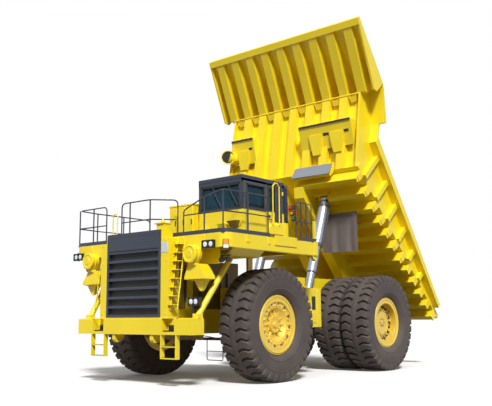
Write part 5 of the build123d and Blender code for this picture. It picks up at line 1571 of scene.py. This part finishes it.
class TRUCK_OT_stage(bpy.types.Operator):
    """Pale floor, soft light and the camera"""

    bl_idname = "truck.stage"
    bl_label = "Stage"

    def execute(self, context):
        scene = context.scene
        scene.view_settings.view_transform = "Standard"
        bpy.ops.mesh.primitive_plane_add(size=400, location=(0, 0, 0))
        floor = context.object
        floor.name = "floor"
        material, wires, shader = new_material("floor_paper")
        shader.inputs["Roughness"].default_value = 1.0
        shader.inputs["Specular IOR Level"].default_value = 0.0
        seen = wires.seen()
        paper = wires.tint(seen, opaque(FLOOR_BOUNCE), opaque(FLOOR_SEEN))
        wires.tree.links.new(paper, shader.inputs["Base Color"])
        glow = wires.add("ShaderNodeEmission",
                         {"Color": (1, 1, 1, 1), "Strength": wires.maths("MULTIPLY", seen, 0.05)})
        both = wires.add("ShaderNodeAddShader", {0: shader.outputs[0], 1: glow.outputs[0]})
        wires.tree.links.new(both.outputs[0], wires.tree.nodes["Material Output"].inputs["Surface"])
        floor.data.materials.append(material)
        world = bpy.data.worlds.new("studio")
        scene.world = world
        world.use_nodes = True
        wires = Wires(world.node_tree)
        wires.tree.nodes.clear()
        light = wires.add("ShaderNodeBackground", {"Color": (0.93, 0.96, 1, 1), "Strength": 0.22})
        white = wires.add("ShaderNodeBackground", {"Color": (1, 1, 1, 1), "Strength": 1.0})
        shown = wires.add("ShaderNodeMixShader", {0: wires.seen(), 1: light.outputs[0], 2: white.outputs[0]})
        wires.add("ShaderNodeOutputWorld", {0: shown.outputs[0]})
        for name, strength, spread, direction in SUNS:
            sun = bpy.data.lights.new(name, "SUN")
            sun.energy = strength
            sun.angle = math.radians(spread)
            holder = bpy.data.objects.new(name, sun)
            holder.rotation_mode = "QUATERNION"
            holder.rotation_quaternion = Vector(direction).to_track_quat("-Z", "Y")
            scene.collection.objects.link(holder)
        data = bpy.data.cameras.new("camera")
        data.lens = FOCAL_LENGTH
        data.sensor_width = 36.0
        data.clip_end = 1000
        camera = bpy.data.objects.new("camera", data)
        camera.location = CAMERA_PLACE
        camera.rotation_mode = "XYZ"
        yaw, pitch, roll = (math.radians(angle) for angle in CAMERA_TURN)
        ahead = Vector((-math.sin(yaw) * math.cos(pitch), math.cos(yaw) * math.cos(pitch), math.sin(pitch)))
        right = Vector((math.cos(yaw), math.sin(yaw), 0))
        up = right.cross(ahead)
        across = right * math.cos(roll) + up * math.sin(roll)
        above = up * math.cos(roll) - right * math.sin(roll)
        turn = camera.matrix_world.to_3x3()
        for row in range(3):
            turn[row] = (across[row], above[row], -ahead[row])
        camera.rotation_euler = turn.to_euler()
        scene.collection.objects.link(camera)
        scene.camera = camera
        return {"FINISHED"}


class TRUCK_PT_panel(bpy.types.Panel):
    """Builders of the truck's pieces, with their sizes and colours"""

    bl_idname = "TRUCK_PT_panel"
    bl_label = "Mining truck"
    bl_space_type = "VIEW_3D"
    bl_region_type = "UI"
    bl_category = "Truck"

    def draw(self, context):
        for group in (context.scene.truck_sizes, context.scene.truck_colours):
            for key in group.__annotations__:
                self.layout.prop(group, key)
        for operator in OPERATORS:
            self.layout.operator(operator.bl_idname)


OPERATORS = (TRUCK_OT_finishes, TRUCK_OT_tyres, TRUCK_OT_wheels, TRUCK_OT_grille, TRUCK_OT_nose,
             TRUCK_OT_lamps, TRUCK_OT_air_cleaners, TRUCK_OT_decks, TRUCK_OT_cab, TRUCK_OT_door,
             TRUCK_OT_cab_inside, TRUCK_OT_tanks, TRUCK_OT_running_gear, TRUCK_OT_bed, TRUCK_OT_deflectors,
             TRUCK_OT_mud_flaps, TRUCK_OT_hoists, TRUCK_OT_stage)
CLASSES = (TruckSizes, TruckColours, *OPERATORS, TRUCK_PT_panel)


def register():
    """Register the classes and the scene's settings."""
    for item in CLASSES:
        bpy.utils.register_class(item)
    bpy.types.Scene.truck_sizes = PointerProperty(type=TruckSizes)
    bpy.types.Scene.truck_colours = PointerProperty(type=TruckColours)


def unregister():
    """Remove the scene's settings and the classes."""
    del bpy.types.Scene.truck_colours
    del bpy.types.Scene.truck_sizes
    for item in reversed(CLASSES):
        bpy.utils.unregister_class(item)


def main():
    """Build every piece in order."""
    register()
    for operator in OPERATORS:
        family, name = operator.bl_idname.split(".")
        getattr(getattr(bpy.ops, family), name)()


if __name__ == "__main__":
    main()
